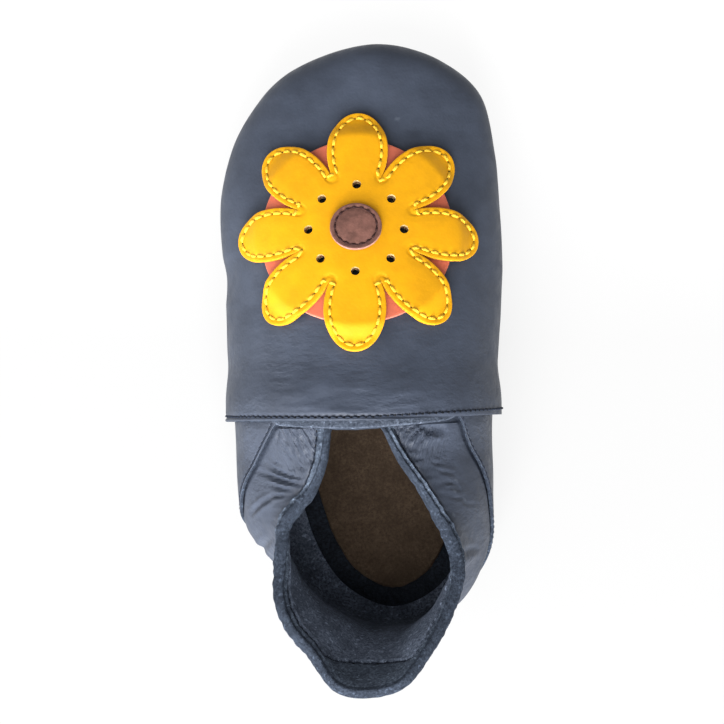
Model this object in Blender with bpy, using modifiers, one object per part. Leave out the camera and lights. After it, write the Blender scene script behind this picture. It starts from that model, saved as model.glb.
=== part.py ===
"""Soft-sole baby shoe for the left foot, made of thin leather and suede.

Frame: +Y towards the toe, +X towards the big toe's side (medial), +Z up, metres.
The origin is on the floor, under the middle of the sole's length.
Every wall is a surface lofted from ribs. A rib starts at the seam between sole and upper,
bulges out to the widest line, and ends on the collar or, in front of it, on the instep line.
"""

import bmesh
import bpy
import numpy as np
from mathutils import Vector
from mathutils.bvhtree import BVHTree

MM = 0.001

# Driving sizes
SOLE_LENGTH = 121.2 * MM
BALL_WIDTH = 53.0 * MM
INSTEP_HEIGHT = 41.5 * MM
TAB_HEIGHT = 52.5 * MM
WIDEST_HEIGHT = 16.0 * MM
SIDE_OVERHANG = 9.0 * MM
SEAM_HEIGHT = 3.2 * MM
SEAM_ALLOWANCE = 1.8 * MM
TOE_SPRING = 3.0 * MM
ARCH_LIFT = 1.0 * MM

# Leather thicknesses
WALL = 1.4 * MM
CASING_THICKNESS = 2.1 * MM
CASING_DEPTH = 4.5 * MM
SOLE_THICKNESS = 1.8 * MM
INSOLE_THICKNESS = 1.2 * MM
VAMP_THICKNESS = 1.2 * MM
PANEL_THICKNESS = 1.1 * MM
DISC_THICKNESS = 0.9 * MM
FLOWER_THICKNESS = 0.9 * MM
CENTRE_THICKNESS = 0.9 * MM

# Places and clearances
GAP = 0.3 * MM
SOLE_ROLL = 8.0 * MM
INSOLE_INSET = 5.8 * MM
THROAT_Y = -19.4 * MM
THROAT_SKEW = 1.6 * MM
POLE_Y = 44.0 * MM
UNDERLAY_SHOWING = 1.7 * MM
VAMP_LAP = 10.0 * MM
PANEL_LAP = 3.5 * MM
FIRST_SHARE = 0.12
SPRING_START = 0.30
ARCH_PLACE = -0.12
ARCH_SPAN = 0.24
ARCH_START = 0.3

# Applique sizes
FLOWER_CENTRE = (-0.4 * MM, 22.5 * MM)
FLOWER_RADIUS = 27.0 * MM
FLOWER_NOTCH = 13.0 * MM
FLOWER_STEP = 4.0 * MM
PETAL_ROUNDNESS = 0.65
PETALS = 8
DISC_RADIUS = 20.8 * MM
CENTRE_RADIUS = 5.2 * MM

# The sole's outline, from the back of the heel round the lateral side to the toe and back.
# across: share of BALL_WIDTH. along: share of SOLE_LENGTH.
# overhang: how far the upper stands out past the sole, share of SIDE_OVERHANG.
# widest: height of the widest line, share of WIDEST_HEIGHT.
OUTLINE_COLUMNS = ("across", "along", "overhang", "widest")
OUTLINE = (
    ("heel back", 0.123, -0.500, 0.35, 0.75),
    ("heel back lateral", -0.085, -0.462, 0.55, 0.81),
    ("heel lateral", -0.230, -0.371, 0.90, 0.94),
    ("heel front lateral", -0.272, -0.318, 1.16, 0.98),
    ("rear waist lateral", -0.309, -0.264, 1.06, 1.00),
    ("waist lateral", -0.383, -0.157, 0.68, 0.97),
    ("middle lateral", -0.457, -0.031, 0.37, 0.88),
    ("ball lateral", -0.485, 0.111, 0.29, 0.81),
    ("joint lateral", -0.500, 0.254, 0.26, 0.78),
    ("toe lateral", -0.445, 0.350, 0.24, 0.75),
    ("toe corner lateral", -0.287, 0.446, 0.19, 0.72),
    ("toe front lateral", -0.094, 0.489, 0.16, 0.72),
    ("toe tip", 0.066, 0.500, 0.15, 0.72),
    ("toe front medial", 0.298, 0.474, 0.18, 0.72),
    ("toe corner medial", 0.425, 0.418, 0.23, 0.75),
    ("toe medial", 0.477, 0.322, 0.24, 0.78),
    ("ball medial", 0.498, 0.182, 0.26, 0.81),
    ("middle medial", 0.483, -0.031, 0.28, 0.88),
    ("waist medial", 0.468, -0.157, 0.27, 0.97),
    ("rear waist medial", 0.468, -0.264, 0.30, 1.00),
    ("heel medial", 0.442, -0.380, 0.38, 0.94),
    ("heel back medial", 0.321, -0.464, 0.42, 0.81),
)

# The instep line, from the throat to the pole above the toes.
# along: share of the way from THROAT_Y to POLE_Y. height: share of INSTEP_HEIGHT.
INSTEP = (
    ("throat", 0.00, -0.007, 1.000, 0.865),
    ("instep", 0.18, -0.003, 0.965, 0.84),
    ("rear of ball", 0.38, 0.000, 0.880, 0.82),
    ("ball", 0.62, 0.002, 0.760, 0.81),
    ("toe joints", 0.86, 0.012, 0.630, 0.80),
    ("pole", 1.00, 0.022, 0.550, 0.80),
)
INSTEP_COLUMNS = ("along", "across", "height", "corner")

# The collar's edge between the two corners of the throat, round the heel.
# foot: where the rib starts, 0 at the lateral corner, 0.5 at the back of the heel, 1 at the medial corner.
# across, along: as in OUTLINE. height: share of TAB_HEIGHT.
# lean: the wall's slope at the edge, degrees from upright, inwards positive.
# pinch: how far the elastic draws the wall in below the edge, share of SIDE_OVERHANG.
COLLAR_COLUMNS = ("foot", "across", "along", "height", "lean", "pinch")
COLLAR = (
    ("side front lateral", 0.050, -0.132, -0.219, 0.755, 64.0, 0.00),
    ("side lateral", 0.097, -0.177, -0.262, 0.735, 58.0, 0.00),
    ("side rear lateral", 0.139, -0.245, -0.294, 0.726, 40.0, 0.05),
    ("turn lateral", 0.180, -0.306, -0.326, 0.724, 10.0, 0.15),
    ("ankle lateral", 0.222, -0.326, -0.367, 0.728, -15.0, 0.25),
    ("rear ankle lateral", 0.278, -0.336, -0.417, 0.743, -32.0, 0.30),
    ("heel collar lateral", 0.325, -0.332, -0.462, 0.776, -38.0, 0.25),
    ("tab root lateral", 0.378, -0.275, -0.517, 0.830, -40.0, 0.20),
    ("tab side lateral", 0.419, -0.185, -0.560, 0.885, -38.0, 0.15),
    ("tab corner lateral", 0.455, -0.094, -0.610, 0.962, -34.0, 0.10),
    ("tab end", 0.503, 0.060, -0.624, 1.000, -32.0, 0.10),
    ("tab corner medial", 0.549, 0.213, -0.602, 0.968, -34.0, 0.10),
    ("tab side medial", 0.582, 0.295, -0.555, 0.897, -38.0, 0.10),
    ("tab root medial", 0.613, 0.355, -0.512, 0.836, -36.0, 0.10),
    ("heel collar medial", 0.658, 0.403, -0.462, 0.780, -32.0, 0.12),
    ("rear ankle medial", 0.709, 0.426, -0.413, 0.750, -20.0, 0.12),
    ("ankle medial", 0.749, 0.413, -0.380, 0.735, -5.0, 0.10),
    ("turn medial", 0.791, 0.377, -0.345, 0.728, 20.0, 0.05),
    ("side rear medial", 0.845, 0.311, -0.303, 0.729, 50.0, 0.00),
    ("side medial", 0.901, 0.238, -0.254, 0.740, 62.0, 0.00),
    ("side front medial", 0.955, 0.162, -0.208, 0.757, 66.0, 0.00),
)

# The seam at the back of each side panel is a plane cut through the upper.
# across: share of BALL_WIDTH, along: share of SOLE_LENGTH and height: share of INSTEP_HEIGHT of a point on it.
# rise: how far the seam runs forward for each unit up. sweep: how far forward for each unit towards the big toe's side.
PANEL_COLUMNS = ("across", "along", "height", "rise", "sweep")
PANEL_CUTS = (
    ("lateral", -0.477, -0.252, 0.627, 0.740, 0.566),
    ("medial", 0.485, -0.227, 0.627, 1.292, -0.426),
)

# Mesh density
SEAT_STEP = 3.6 * MM
FOOT_STEPS = 3
SIDE_STEPS = 7
TOP_STEPS = 3
INSTEP_STEPS = 13
FAN_STEPS = 12
SOLE_STEPS = 52
PAD_SHARES = (0.35, 0.70, 0.90)
ROLL_STEPS = 4
CENTRE_SPOKES = 24
WALK_STEP = 0.8 * MM
DISC_RINGS = 5
PETAL_RINGS = 2


def hermite(keys, values, at):
    """Smooth values through rows at rising keys; the slope at a key blends its two neighbours' slopes."""
    keys, values, at = np.asarray(keys, float), np.asarray(values, float), np.asarray(at, float)
    run = np.diff(keys)
    slope = np.diff(values) / run
    inner = (slope[:-1] * run[1:] + slope[1:] * run[:-1]) / (run[:-1] + run[1:])
    slopes = np.concatenate([[slope[0]], inner, [slope[-1]]])
    i = np.clip(np.searchsorted(keys, at, side="right") - 1, 0, len(run) - 1)
    h = run[i]
    t = (at - keys[i]) / h
    return (
        values[i] * (2 * t**3 - 3 * t**2 + 1)
        + slopes[i] * h * (t**3 - 2 * t**2 + t)
        + values[i + 1] * (3 * t**2 - 2 * t**3)
        + slopes[i + 1] * h * (t**3 - t**2)
    )


def column(table, columns, name):
    """One named column of a table whose rows start with their own name."""
    return np.array([row[1 + columns.index(name)] for row in table], float)


def smooth_step(x):
    x = np.clip(x, 0.0, 1.0)
    return x * x * (3 - 2 * x)


def rise(x, y):
    """The sole's height above the floor: it springs up in front of the ball and arches at the medial waist."""
    along = y / SOLE_LENGTH
    spring = np.clip((along - SPRING_START) / (0.5 - SPRING_START), 0, None) ** 2
    medial = smooth_step((2 * x / BALL_WIDTH - ARCH_START) / (1 - ARCH_START))
    arch = (1 - smooth_step(abs(along - ARCH_PLACE) / ARCH_SPAN)) * medial
    return TOE_SPRING * spring + ARCH_LIFT * arch


def bezier(control, t):
    """Points at shares t of the cubic with four control points."""
    t = np.asarray(t, float)[:, None]
    a, b, c, d = (np.asarray(p, float)[None, :] for p in control)
    return a * (1 - t) ** 3 + 3 * b * (1 - t) ** 2 * t + 3 * c * (1 - t) * t**2 + d * t**3


def first_part(control, t):
    """The control points of the cubic's first part, up to share t."""
    a, b, c, d = (np.asarray(p, float) for p in control)
    ab, bc, cd = a + (b - a) * t, b + (c - b) * t, c + (d - c) * t
    abc, bcd = ab + (bc - ab) * t, bc + (cd - bc) * t
    return [a, ab, abc, abc + (bcd - abc) * t]


class Outline:
    """The sole's closed outline, read by the share of its perimeter from the back of the heel."""

    def __init__(self):
        x = column(OUTLINE, OUTLINE_COLUMNS, "across") * BALL_WIDTH
        y = column(OUTLINE, OUTLINE_COLUMNS, "along") * SOLE_LENGTH
        steps = np.hypot(np.diff(x, append=x[0]), np.diff(y, append=y[0]))
        share = np.concatenate([[0], np.cumsum(steps)]) / steps.sum()
        self.columns = {
            "x": x,
            "y": y,
            "overhang": column(OUTLINE, OUTLINE_COLUMNS, "overhang") * SIDE_OVERHANG,
            "widest": column(OUTLINE, OUTLINE_COLUMNS, "widest") * WIDEST_HEIGHT,
        }
        self.keys = np.concatenate([share[-4:-1] - 1, share, 1 + share[1:4]])
        self.share = share

    def read(self, name, at):
        v = self.columns[name]
        return hermite(self.keys, np.concatenate([v[-3:], v, v[:4]]), np.mod(at, 1.0))

    def point(self, at):
        return np.stack([self.read("x", at), self.read("y", at)], -1)

    def normal(self, at):
        """The outward direction in plan."""
        step = 1e-4
        tangent = self.point(np.asarray(at) + step) - self.point(np.asarray(at) - step)
        out = np.stack([-tangent[..., 1], tangent[..., 0]], -1)
        return out / np.linalg.norm(out, axis=-1, keepdims=True)

    def foot_at(self, side, y):
        """The share at which one side's widest line is at y, between heel and toe."""
        tip = self.share[[row[0] for row in OUTLINE].index("toe tip")]
        span = np.linspace(0.06, tip - 0.04, 200) if side == "lateral" else np.linspace(0.94, tip + 0.04, 200)
        wide = self.read("y", span) + self.normal(span)[:, 1] * self.read("overhang", span)
        return float(np.interp(y, wide, span))


OUT = Outline()


class Rib:
    """One rib: the foot curve from the seam to the widest line, then the side curve up to its end."""

    def __init__(self, foot, side_curve):
        self.foot = foot
        self.side = side_curve

    @staticmethod
    def start(foot):
        """The seam point, the widest point and the outward direction of the rib at this foot."""
        seam, out = OUT.point(foot), OUT.normal(foot)
        wide = seam + out * OUT.read("overhang", foot)
        floor = rise(*seam)
        return (
            np.array([*seam, SEAM_HEIGHT + floor]),
            np.array([*wide, OUT.read("widest", foot) + floor]),
            np.array([*out, 0.0]),
        )

    def points(self, heights):
        """Points at heights from 0, the seam, by 1, the widest line, to 2, the rib's end. Below 0 is the allowance."""
        seam, wide, out = Rib.start(self.foot)
        over, rise = np.linalg.norm(wide[:2] - seam[:2]), wide[2] - seam[2]
        up = np.array([0, 0, 1.0])
        foot_curve = [seam, seam + out * over * 0.6 + up * rise * 0.04, wide - up * rise * 0.55, wide]
        found = []
        for h in heights:
            if h < 0:
                found.append(seam + out * h * SEAM_ALLOWANCE)
            elif h <= 1:
                found.append(bezier(foot_curve, [h])[0])
            else:
                found.append(bezier(self.side, [h - 1])[0])
        return np.array(found)


def instep_point(y):
    """The instep line's point at y, its slope, and the share of the rib at which the collar's corner lies."""
    along = (y - THROAT_Y) / (POLE_Y - THROAT_Y)
    keys = column(INSTEP, INSTEP_COLUMNS, "along")

    def read(name, at):
        return float(hermite(keys, column(INSTEP, INSTEP_COLUMNS, name), at))

    step = 0.01
    rise = (read("height", along + step / 2) - read("height", along - step / 2)) * INSTEP_HEIGHT
    slope = rise / (step * (POLE_Y - THROAT_Y))
    point = np.array([read("across", along) * BALL_WIDTH, y, read("height", along) * INSTEP_HEIGHT])
    return point, slope, read("corner", along)


def vamp_curve(foot, y):
    """The side curve of a rib that runs over the forefoot to the instep line at y."""
    _, wide, _ = Rib.start(foot)
    top, slope, corner = instep_point(y)
    flat = (top - wide)[:2]
    reach = np.linalg.norm(flat)
    inward = flat / reach
    toe = smooth_step((OUT.read("y", foot) - POLE_Y) / (0.5 * SOLE_LENGTH - POLE_Y))
    tangent = np.array([*inward, slope * inward[1]])
    rise = (top[2] - wide[2]) * (0.62 + 0.12 * toe)
    return [wide, wide + np.array([0, 0, rise]), top - tangent * reach * (0.50 + 0.04 * toe), top], corner


def forefoot_rib(side, y):
    """The rib of one side that ends on the instep line at y, or fans into its pole."""
    skew = THROAT_SKEW * (1 - smooth_step((y - THROAT_Y) / (0.6 * (POLE_Y - THROAT_Y))))
    foot = OUT.foot_at(side, y if side == "lateral" else y + skew)
    curve, corner = vamp_curve(foot, y)
    return Rib(foot, [*first_part(curve, corner)]), Rib(foot, curve), corner


def quarter_keys():
    """The feet and side curves of the ribs that end on the collar, from the lateral corner to the medial one."""
    first, _, _ = forefoot_rib("lateral", THROAT_Y)
    last, _, _ = forefoot_rib("medial", THROAT_Y)
    rows = [(first.foot, first.side)]
    for row in COLLAR:
        r = dict(zip(COLLAR_COLUMNS, row[1:]))
        side = first.foot if r["foot"] < 0.5 else 1.0 - last.foot
        foot = (1 - 2 * r["foot"]) * side
        _, wide, out = Rib.start(foot)
        top = np.array([r["across"] * BALL_WIDTH, r["along"] * SOLE_LENGTH, r["height"] * TAB_HEIGHT])
        lean = np.radians(r["lean"])
        drawn = r["pinch"] * SIDE_OVERHANG
        length = np.linalg.norm(top - wide)
        up = np.array([0, 0, 1.0])
        leave = wide - out * drawn + up * 0.40 * (top[2] - wide[2])
        arrive = top - (up * np.cos(lean) - out * np.sin(lean)) * 0.42 * length
        rows.append((foot, [wide, leave, arrive, top]))
    rows.append((last.foot - 1.0, last.side))
    feet = np.array([r[0] for r in rows])
    curves = np.array([r[1] for r in rows])
    return feet, curves


QUARTER_FEET, QUARTER_CURVES = quarter_keys()


def quarter_rib(foot):
    """The rib at any foot between the two corners of the throat."""
    shape = QUARTER_CURVES.reshape(len(QUARTER_FEET), 12)
    order = np.argsort(QUARTER_FEET)
    at = [float(hermite(QUARTER_FEET[order], shape[order, c], foot)) for c in range(12)]
    curve = np.array(at).reshape(4, 3)
    curve[0] = Rib.start(foot)[1]
    return Rib(foot, list(curve))


def quarter_feet():
    """The feet of the collar ribs, closer where the feet or the collar's edge run on faster."""
    feet = [QUARTER_FEET[0]]
    for i in range(len(QUARTER_FEET) - 1):
        a, b = QUARTER_CURVES[i], QUARTER_CURVES[i + 1]
        length = (np.linalg.norm(b[0] - a[0]) + np.linalg.norm(b[3] - a[3])) / 2
        steps = max(1, round(length / SEAT_STEP))
        feet += list(np.linspace(QUARTER_FEET[i], QUARTER_FEET[i + 1], steps + 1)[1:])
    return feet


def material(name, colour, roughness):
    m = bpy.data.materials.new(name)
    m.use_nodes = True
    shader = m.node_tree.nodes["Principled BSDF"]
    shader.inputs["Base Color"].default_value = (*colour, 1.0)
    shader.inputs["Roughness"].default_value = roughness
    shader.inputs["Metallic"].default_value = 0.0
    m.diffuse_color = (*colour, 1.0)
    return m


def finished(bm, name):
    mesh = bpy.data.meshes.new(name)
    bm.to_mesh(mesh)
    bm.free()
    return mesh


def add_object(name, mesh, mat, collection):
    obj = bpy.data.objects.new(name, mesh)
    mesh.materials.append(mat)
    mesh.shade_smooth()
    collection.objects.link(obj)
    return obj


def facing_out(bm):
    """Turns an open loft's faces so that they look away from the inside of the shoe."""
    bmesh.ops.recalc_face_normals(bm, faces=bm.faces)
    bm.normal_update()
    low = min(bm.faces, key=lambda f: f.calc_center_median().z)
    if low.normal.z > 0:
        bmesh.ops.reverse_faces(bm, faces=bm.faces)
        bm.normal_update()


def grid_faces(bm, rows):
    """Quads between neighbouring rows of vertices; rows may differ in length and then share their first columns."""
    for a, b in zip(rows[:-1], rows[1:]):
        for j in range(min(len(a), len(b)) - 1):
            corners = []
            for v in (a[j], a[j + 1], b[j + 1], b[j]):
                if v not in corners:
                    corners.append(v)
            if len(corners) > 2:
                bm.faces.new(corners)


def forefoot_ribs(first_y):
    """Ribs from first_y on the lateral side, round the toe fan, to first_y on the medial side."""
    stations = np.linspace(first_y, POLE_Y, INSTEP_STEPS + 1)
    lateral = [forefoot_rib("lateral", y)[1:] for y in stations]
    medial = [forefoot_rib("medial", y)[1:] for y in stations]
    fan = []
    for foot in np.linspace(lateral[-1][0].foot, medial[-1][0].foot, FAN_STEPS + 1)[1:-1]:
        curve, corner = vamp_curve(foot, POLE_Y)
        fan.append((Rib(foot, curve), corner))
    return lateral + fan + medial[::-1]


def side_heights(corner=1.0):
    """Heights from the widest line to the collar's corner."""
    return [1 + corner * j / SIDE_STEPS for j in range(1, SIDE_STEPS + 1)]


def top_heights(corner):
    """Heights from the collar's corner to the instep line."""
    return [1 + corner + (1 - corner) * j / TOP_STEPS for j in range(1, TOP_STEPS + 1)]


def foot_heights(first):
    """Heights from the first one to the widest line."""
    return first + [j / FOOT_STEPS for j in range(1, FOOT_STEPS + 1)]


def shell(first):
    """The upper's open surface: forefoot ribs to the instep line, collar ribs to the edge, joined at the throat."""
    bm = bmesh.new()
    low = foot_heights(first)
    front = forefoot_ribs(THROAT_Y)
    rows = []
    for rib, corner in front:
        heights = low + side_heights(corner) + top_heights(corner)
        rows.append([bm.verts.new(p) for p in rib.points(heights)])
    grid_faces(bm, rows)
    half = len(rows) // 2
    for a, b in zip(rows[: half], rows[::-1][: half]):
        if (a[-1].co - b[-1].co).length > 1e-6:
            raise ValueError("the two sides of the instep line differ")
    columns = len(low) + SIDE_STEPS
    back = []
    for foot in quarter_feet()[1:-1]:
        heights = low + side_heights()
        back.append([bm.verts.new(p) for p in quarter_rib(foot).points(heights)])
    grid_faces(bm, [rows[0][:columns], *back, rows[-1][:columns]])
    bmesh.ops.remove_doubles(bm, verts=bm.verts, dist=1e-6)
    facing_out(bm)
    return bm


def thicken(obj, thickness, outward, group=None, thinnest=1.0):
    solid = obj.modifiers.new("leather", "SOLIDIFY")
    solid.thickness = thickness
    solid.offset = 1.0 if outward else -1.0
    solid.use_even_offset = True
    solid.use_quality_normals = True
    solid.use_rim = True
    if group:
        solid.vertex_group = group
        solid.thickness_vertex_group = thinnest


def make_upper(mat, collection):
    obj = add_object("upper", finished(shell([-1.0, 0.0]), "upper"), mat, collection)
    mesh = obj.data
    edge = collar_edge()
    casing = obj.vertex_groups.new(name="casing")
    for v in mesh.vertices:
        near = min((v.co - p).length for p in edge)
        casing.add([v.index], float(1 - smooth_step((near - 0.5 * CASING_DEPTH) / CASING_DEPTH)), "REPLACE")
    thicken(obj, CASING_THICKNESS, False, "casing", WALL / CASING_THICKNESS)
    return obj


def collar_edge():
    """Points along the collar's edge, for the depth of its elastic casing."""
    feet = np.linspace(QUARTER_FEET[0], QUARTER_FEET[-1], 160)
    return [Vector(quarter_rib(f).points([2.0])[0]) for f in feet]


def pad(rings):
    """An open sheet from closed rings, each a list of (inset from the outline, height, share of its size)."""
    bm = bmesh.new()
    rows = []
    for inset, z, share in rings:
        row = []
        for at in np.arange(SOLE_STEPS) / SOLE_STEPS:
            x, y = (OUT.point(at) + OUT.normal(at) * inset) * share
            row.append(bm.verts.new((x, y, z + rise(x, y))))
        rows.append([*row, row[0]])
    grid_faces(bm, rows)
    bm.faces.new(rows[0][:-1])
    facing_out(bm)
    return bm


def make_sole(mat, collection):
    """A tray of suede: it lies on the floor and turns up at its edge to the seam."""
    rim = SEAM_HEIGHT - GAP
    roll = [(-SOLE_ROLL, 0), (-0.35 * SOLE_ROLL, 0), (0, 0.15 * rim), (0, 0.55 * rim)]
    edge = [(inset, z, 1.0) for inset, z in bezier(roll, np.linspace(0, 1, ROLL_STEPS))]
    flat = [(-SOLE_ROLL, 0.0, share) for share in PAD_SHARES]
    obj = add_object("sole", finished(pad([*flat, *edge, (0.0, rim, 1.0)]), "sole"), mat, collection)
    thicken(obj, SOLE_THICKNESS, False)
    return obj


def make_insole(mat, collection):
    """A suede pad inside, following the sole."""
    rings = [(-INSOLE_INSET, SOLE_THICKNESS + GAP, share) for share in (*PAD_SHARES, 1.0)]
    obj = add_object("insole", finished(pad(rings), "insole"), mat, collection)
    thicken(obj, INSOLE_THICKNESS, False)
    return obj


def lifted(bm, lift):
    """Moves each vertex outwards along its normal by lift(vertex)."""
    facing_out(bm)
    moved = [(v, v.co + v.normal * lift(v)) for v in bm.verts]
    for v, co in moved:
        v.co = co


def vamp_lift(y):
    """The vamp's height above the upper: close over the toes, above the side panels at its rear edge."""
    rear = THROAT_Y + UNDERLAY_SHOWING
    share = 1 - smooth_step((y - rear - PANEL_LAP) / VAMP_LAP)
    return GAP + (PANEL_THICKNESS + GAP) * share


def make_vamp(mat, collection):
    """The front leather, from its straight rear edge round the toe, down to the seam."""
    bm = bmesh.new()
    rows = []
    for rib, corner in forefoot_ribs(THROAT_Y + UNDERLAY_SHOWING):
        heights = foot_heights([FIRST_SHARE]) + side_heights(corner) + top_heights(corner)
        rows.append([bm.verts.new(p) for p in rib.points(heights)])
    grid_faces(bm, rows)
    bmesh.ops.remove_doubles(bm, verts=bm.verts, dist=1e-6)
    lifted(bm, lambda v: vamp_lift(v.co.y))
    obj = add_object("vamp", finished(bm, "vamp"), mat, collection)
    thicken(obj, VAMP_THICKNESS, True)
    return obj


def make_side_panel(side, mat, collection):
    """The small wedge behind the vamp's edge, cut from the upper's own surface and laid over it."""
    names = [row[0] for row in PANEL_CUTS]
    cut = dict(zip(PANEL_COLUMNS, PANEL_CUTS[names.index(side)][1:]))
    point = Vector((cut["across"] * BALL_WIDTH, cut["along"] * SOLE_LENGTH, cut["height"] * INSTEP_HEIGHT))
    front = Vector((0, THROAT_Y + UNDERLAY_SHOWING + PANEL_LAP, 0))
    planes = (
        (point, Vector((cut["sweep"], -1, cut["rise"])).normalized()),
        (front, Vector((0, 1, 0))),
        (Vector((0, 0, 0)), Vector((1 if side == "lateral" else -1, 0, 0))),
    )
    bm = shell([FIRST_SHARE])
    lifted(bm, lambda v: GAP)
    for co, no in planes:
        geometry = bm.verts[:] + bm.edges[:] + bm.faces[:]
        bmesh.ops.bisect_plane(bm, geom=geometry, dist=1e-6, plane_co=co, plane_no=no, clear_outer=True)
    obj = add_object("side_panel_" + side, finished(bm, "side_panel_" + side), mat, collection)
    thicken(obj, PANEL_THICKNESS, True)
    return obj


class Top:
    """The outer surface of the vamp, on which the appliques lie."""

    def __init__(self, vamp):
        graph = bpy.context.evaluated_depsgraph_get()
        self.tree = BVHTree.FromObject(vamp, graph)
        above = Vector((*FLOWER_CENTRE, 2 * TAB_HEIGHT))
        self.centre, self.normal, _, _ = self.tree.ray_cast(above, Vector((0, 0, -1)))

    def along(self, angle, distances):
        """The surface's points and normals at these distances from the flower's centre, walked in one direction."""
        point, normal = self.centre, self.normal
        heading = Vector((np.cos(angle), np.sin(angle), 0))
        walked, found = 0.0, []
        for distance in distances:
            steps = int(np.ceil((distance - walked) / WALK_STEP))
            for _ in range(steps):
                heading = (heading - normal * heading.dot(normal)).normalized()
                ahead = point + heading * (distance - walked) / steps
                point, normal, _, _ = self.tree.find_nearest(ahead)
            walked = distance
            found.append((point, normal))
        return found


def petal_spokes():
    """The directions in which disc and flower are drawn, one of them where a petal's edge crosses the disc's."""
    half = np.pi / PETALS
    crossing = np.clip((DISC_RADIUS - FLOWER_NOTCH) / (FLOWER_RADIUS - FLOWER_NOTCH), 0.1, 0.9)
    share = np.arccos(crossing ** (1 / PETAL_ROUNDNESS)) * 2 / np.pi
    steps = [0.0, share / 2, share, (1 + share) / 2, 1.0]
    one = [step * half for step in steps] + [-step * half for step in steps[1:-1]]
    return sorted(2 * half * k + angle for k in range(PETALS) for angle in one)


def make_applique(name, top, edge, lift, thickness, spokes, rings, mat, collection):
    """A leather piece on the vamp: edge(angle) is its outline, lift(distance) its height above the vamp."""
    bm = bmesh.new()
    hub = bm.verts.new(top.centre + top.normal * lift(0.0))
    rows = []
    for angle in spokes:
        reach = edge(angle)
        distances = [d for d in rings if d < reach - GAP] + [reach]
        row = [hub] + [bm.verts.new(p + n * lift(d)) for (p, n), d in zip(top.along(angle, distances), distances)]
        rows.append(row + [row[-1]] * (len(rings) + 1 - len(row)))
    grid_faces(bm, [*rows, rows[0]])
    bmesh.ops.recalc_face_normals(bm, faces=bm.faces)
    bm.normal_update()
    if sum(f.normal.z for f in bm.faces) < 0:
        bmesh.ops.reverse_faces(bm, faces=bm.faces)
    obj = add_object(name, finished(bm, name), mat, collection)
    thicken(obj, thickness, True)
    return obj


def petal_edge(angle):
    """Rounded petals that meet in notches."""
    wave = abs(np.cos(angle * PETALS / 2))
    return FLOWER_NOTCH + (FLOWER_RADIUS - FLOWER_NOTCH) * wave**PETAL_ROUNDNESS


def flower_lift(distance):
    """The flower lies on the disc and steps down to the vamp past the disc's edge."""
    over = 1 - smooth_step((distance - DISC_RADIUS - GAP) / FLOWER_STEP)
    return GAP + (DISC_THICKNESS + GAP) * over


def main():
    for obj in list(bpy.data.objects):
        bpy.data.objects.remove(obj)
    shoe = bpy.data.collections.new("baby_shoe")
    bpy.context.scene.collection.children.link(shoe)
    navy = material("navy_leather", (0.060, 0.078, 0.110), 0.45)
    suede = material("sole_suede", (0.075, 0.085, 0.105), 0.9)
    tan = material("insole_suede", (0.30, 0.19, 0.13), 0.9)
    coral = material("coral_leather", (0.67, 0.19, 0.11), 0.5)
    yellow = material("yellow_leather", (0.95, 0.52, 0.01), 0.5)
    brown = material("brown_leather", (0.28, 0.13, 0.09), 0.6)
    make_sole(suede, shoe)
    make_insole(tan, shoe)
    make_upper(navy, shoe)
    make_side_panel("lateral", navy, shoe)
    make_side_panel("medial", navy, shoe)
    vamp = make_vamp(navy, shoe)
    bpy.context.view_layer.update()
    top = Top(vamp)
    inner = [DISC_RADIUS * (k + 1) / DISC_RINGS for k in range(DISC_RINGS)]
    outer = [DISC_RADIUS + (FLOWER_RADIUS - DISC_RADIUS) * (k + 1) / PETAL_RINGS for k in range(PETAL_RINGS)]
    centre_lift = flower_lift(0.0) + FLOWER_THICKNESS + GAP
    petals = petal_spokes()
    even = np.arange(CENTRE_SPOKES) * 2 * np.pi / CENTRE_SPOKES
    pieces = (
        ("applique_disc", lambda a: DISC_RADIUS, lambda d: GAP, DISC_THICKNESS, petals, inner, coral),
        ("applique_flower", petal_edge, flower_lift, FLOWER_THICKNESS, petals, inner + outer, yellow),
        ("applique_centre", lambda a: CENTRE_RADIUS, lambda d: centre_lift, CENTRE_THICKNESS, even, inner, brown),
    )
    for name, edge, lift, thickness, spokes, rings, mat in pieces:
        make_applique(name, top, edge, lift, thickness, spokes, rings, mat, shoe)


main()
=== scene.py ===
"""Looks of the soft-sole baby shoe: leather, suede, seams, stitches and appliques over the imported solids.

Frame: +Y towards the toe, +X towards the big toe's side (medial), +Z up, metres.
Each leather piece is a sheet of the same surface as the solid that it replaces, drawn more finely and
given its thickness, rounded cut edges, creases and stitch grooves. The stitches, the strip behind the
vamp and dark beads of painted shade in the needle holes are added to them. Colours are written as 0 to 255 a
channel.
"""

import bmesh
import bpy
import numpy as np
from mathutils import Matrix, Vector, noise
from mathutils.bvhtree import BVHTree
from mathutils.kdtree import KDTree

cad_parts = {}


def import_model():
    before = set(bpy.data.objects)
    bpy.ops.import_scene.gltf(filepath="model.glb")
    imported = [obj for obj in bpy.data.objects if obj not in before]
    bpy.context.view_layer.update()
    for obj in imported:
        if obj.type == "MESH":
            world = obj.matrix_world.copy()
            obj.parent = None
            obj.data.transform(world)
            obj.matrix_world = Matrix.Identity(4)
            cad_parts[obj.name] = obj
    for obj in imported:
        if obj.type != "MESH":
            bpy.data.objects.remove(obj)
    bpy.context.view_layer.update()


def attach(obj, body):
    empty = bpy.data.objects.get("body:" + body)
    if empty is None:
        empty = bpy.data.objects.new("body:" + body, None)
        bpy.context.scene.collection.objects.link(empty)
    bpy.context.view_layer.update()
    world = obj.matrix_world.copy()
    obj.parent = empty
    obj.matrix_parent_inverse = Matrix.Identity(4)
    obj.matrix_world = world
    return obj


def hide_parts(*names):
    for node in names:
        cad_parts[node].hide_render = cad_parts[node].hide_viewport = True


MM = 0.001

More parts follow.
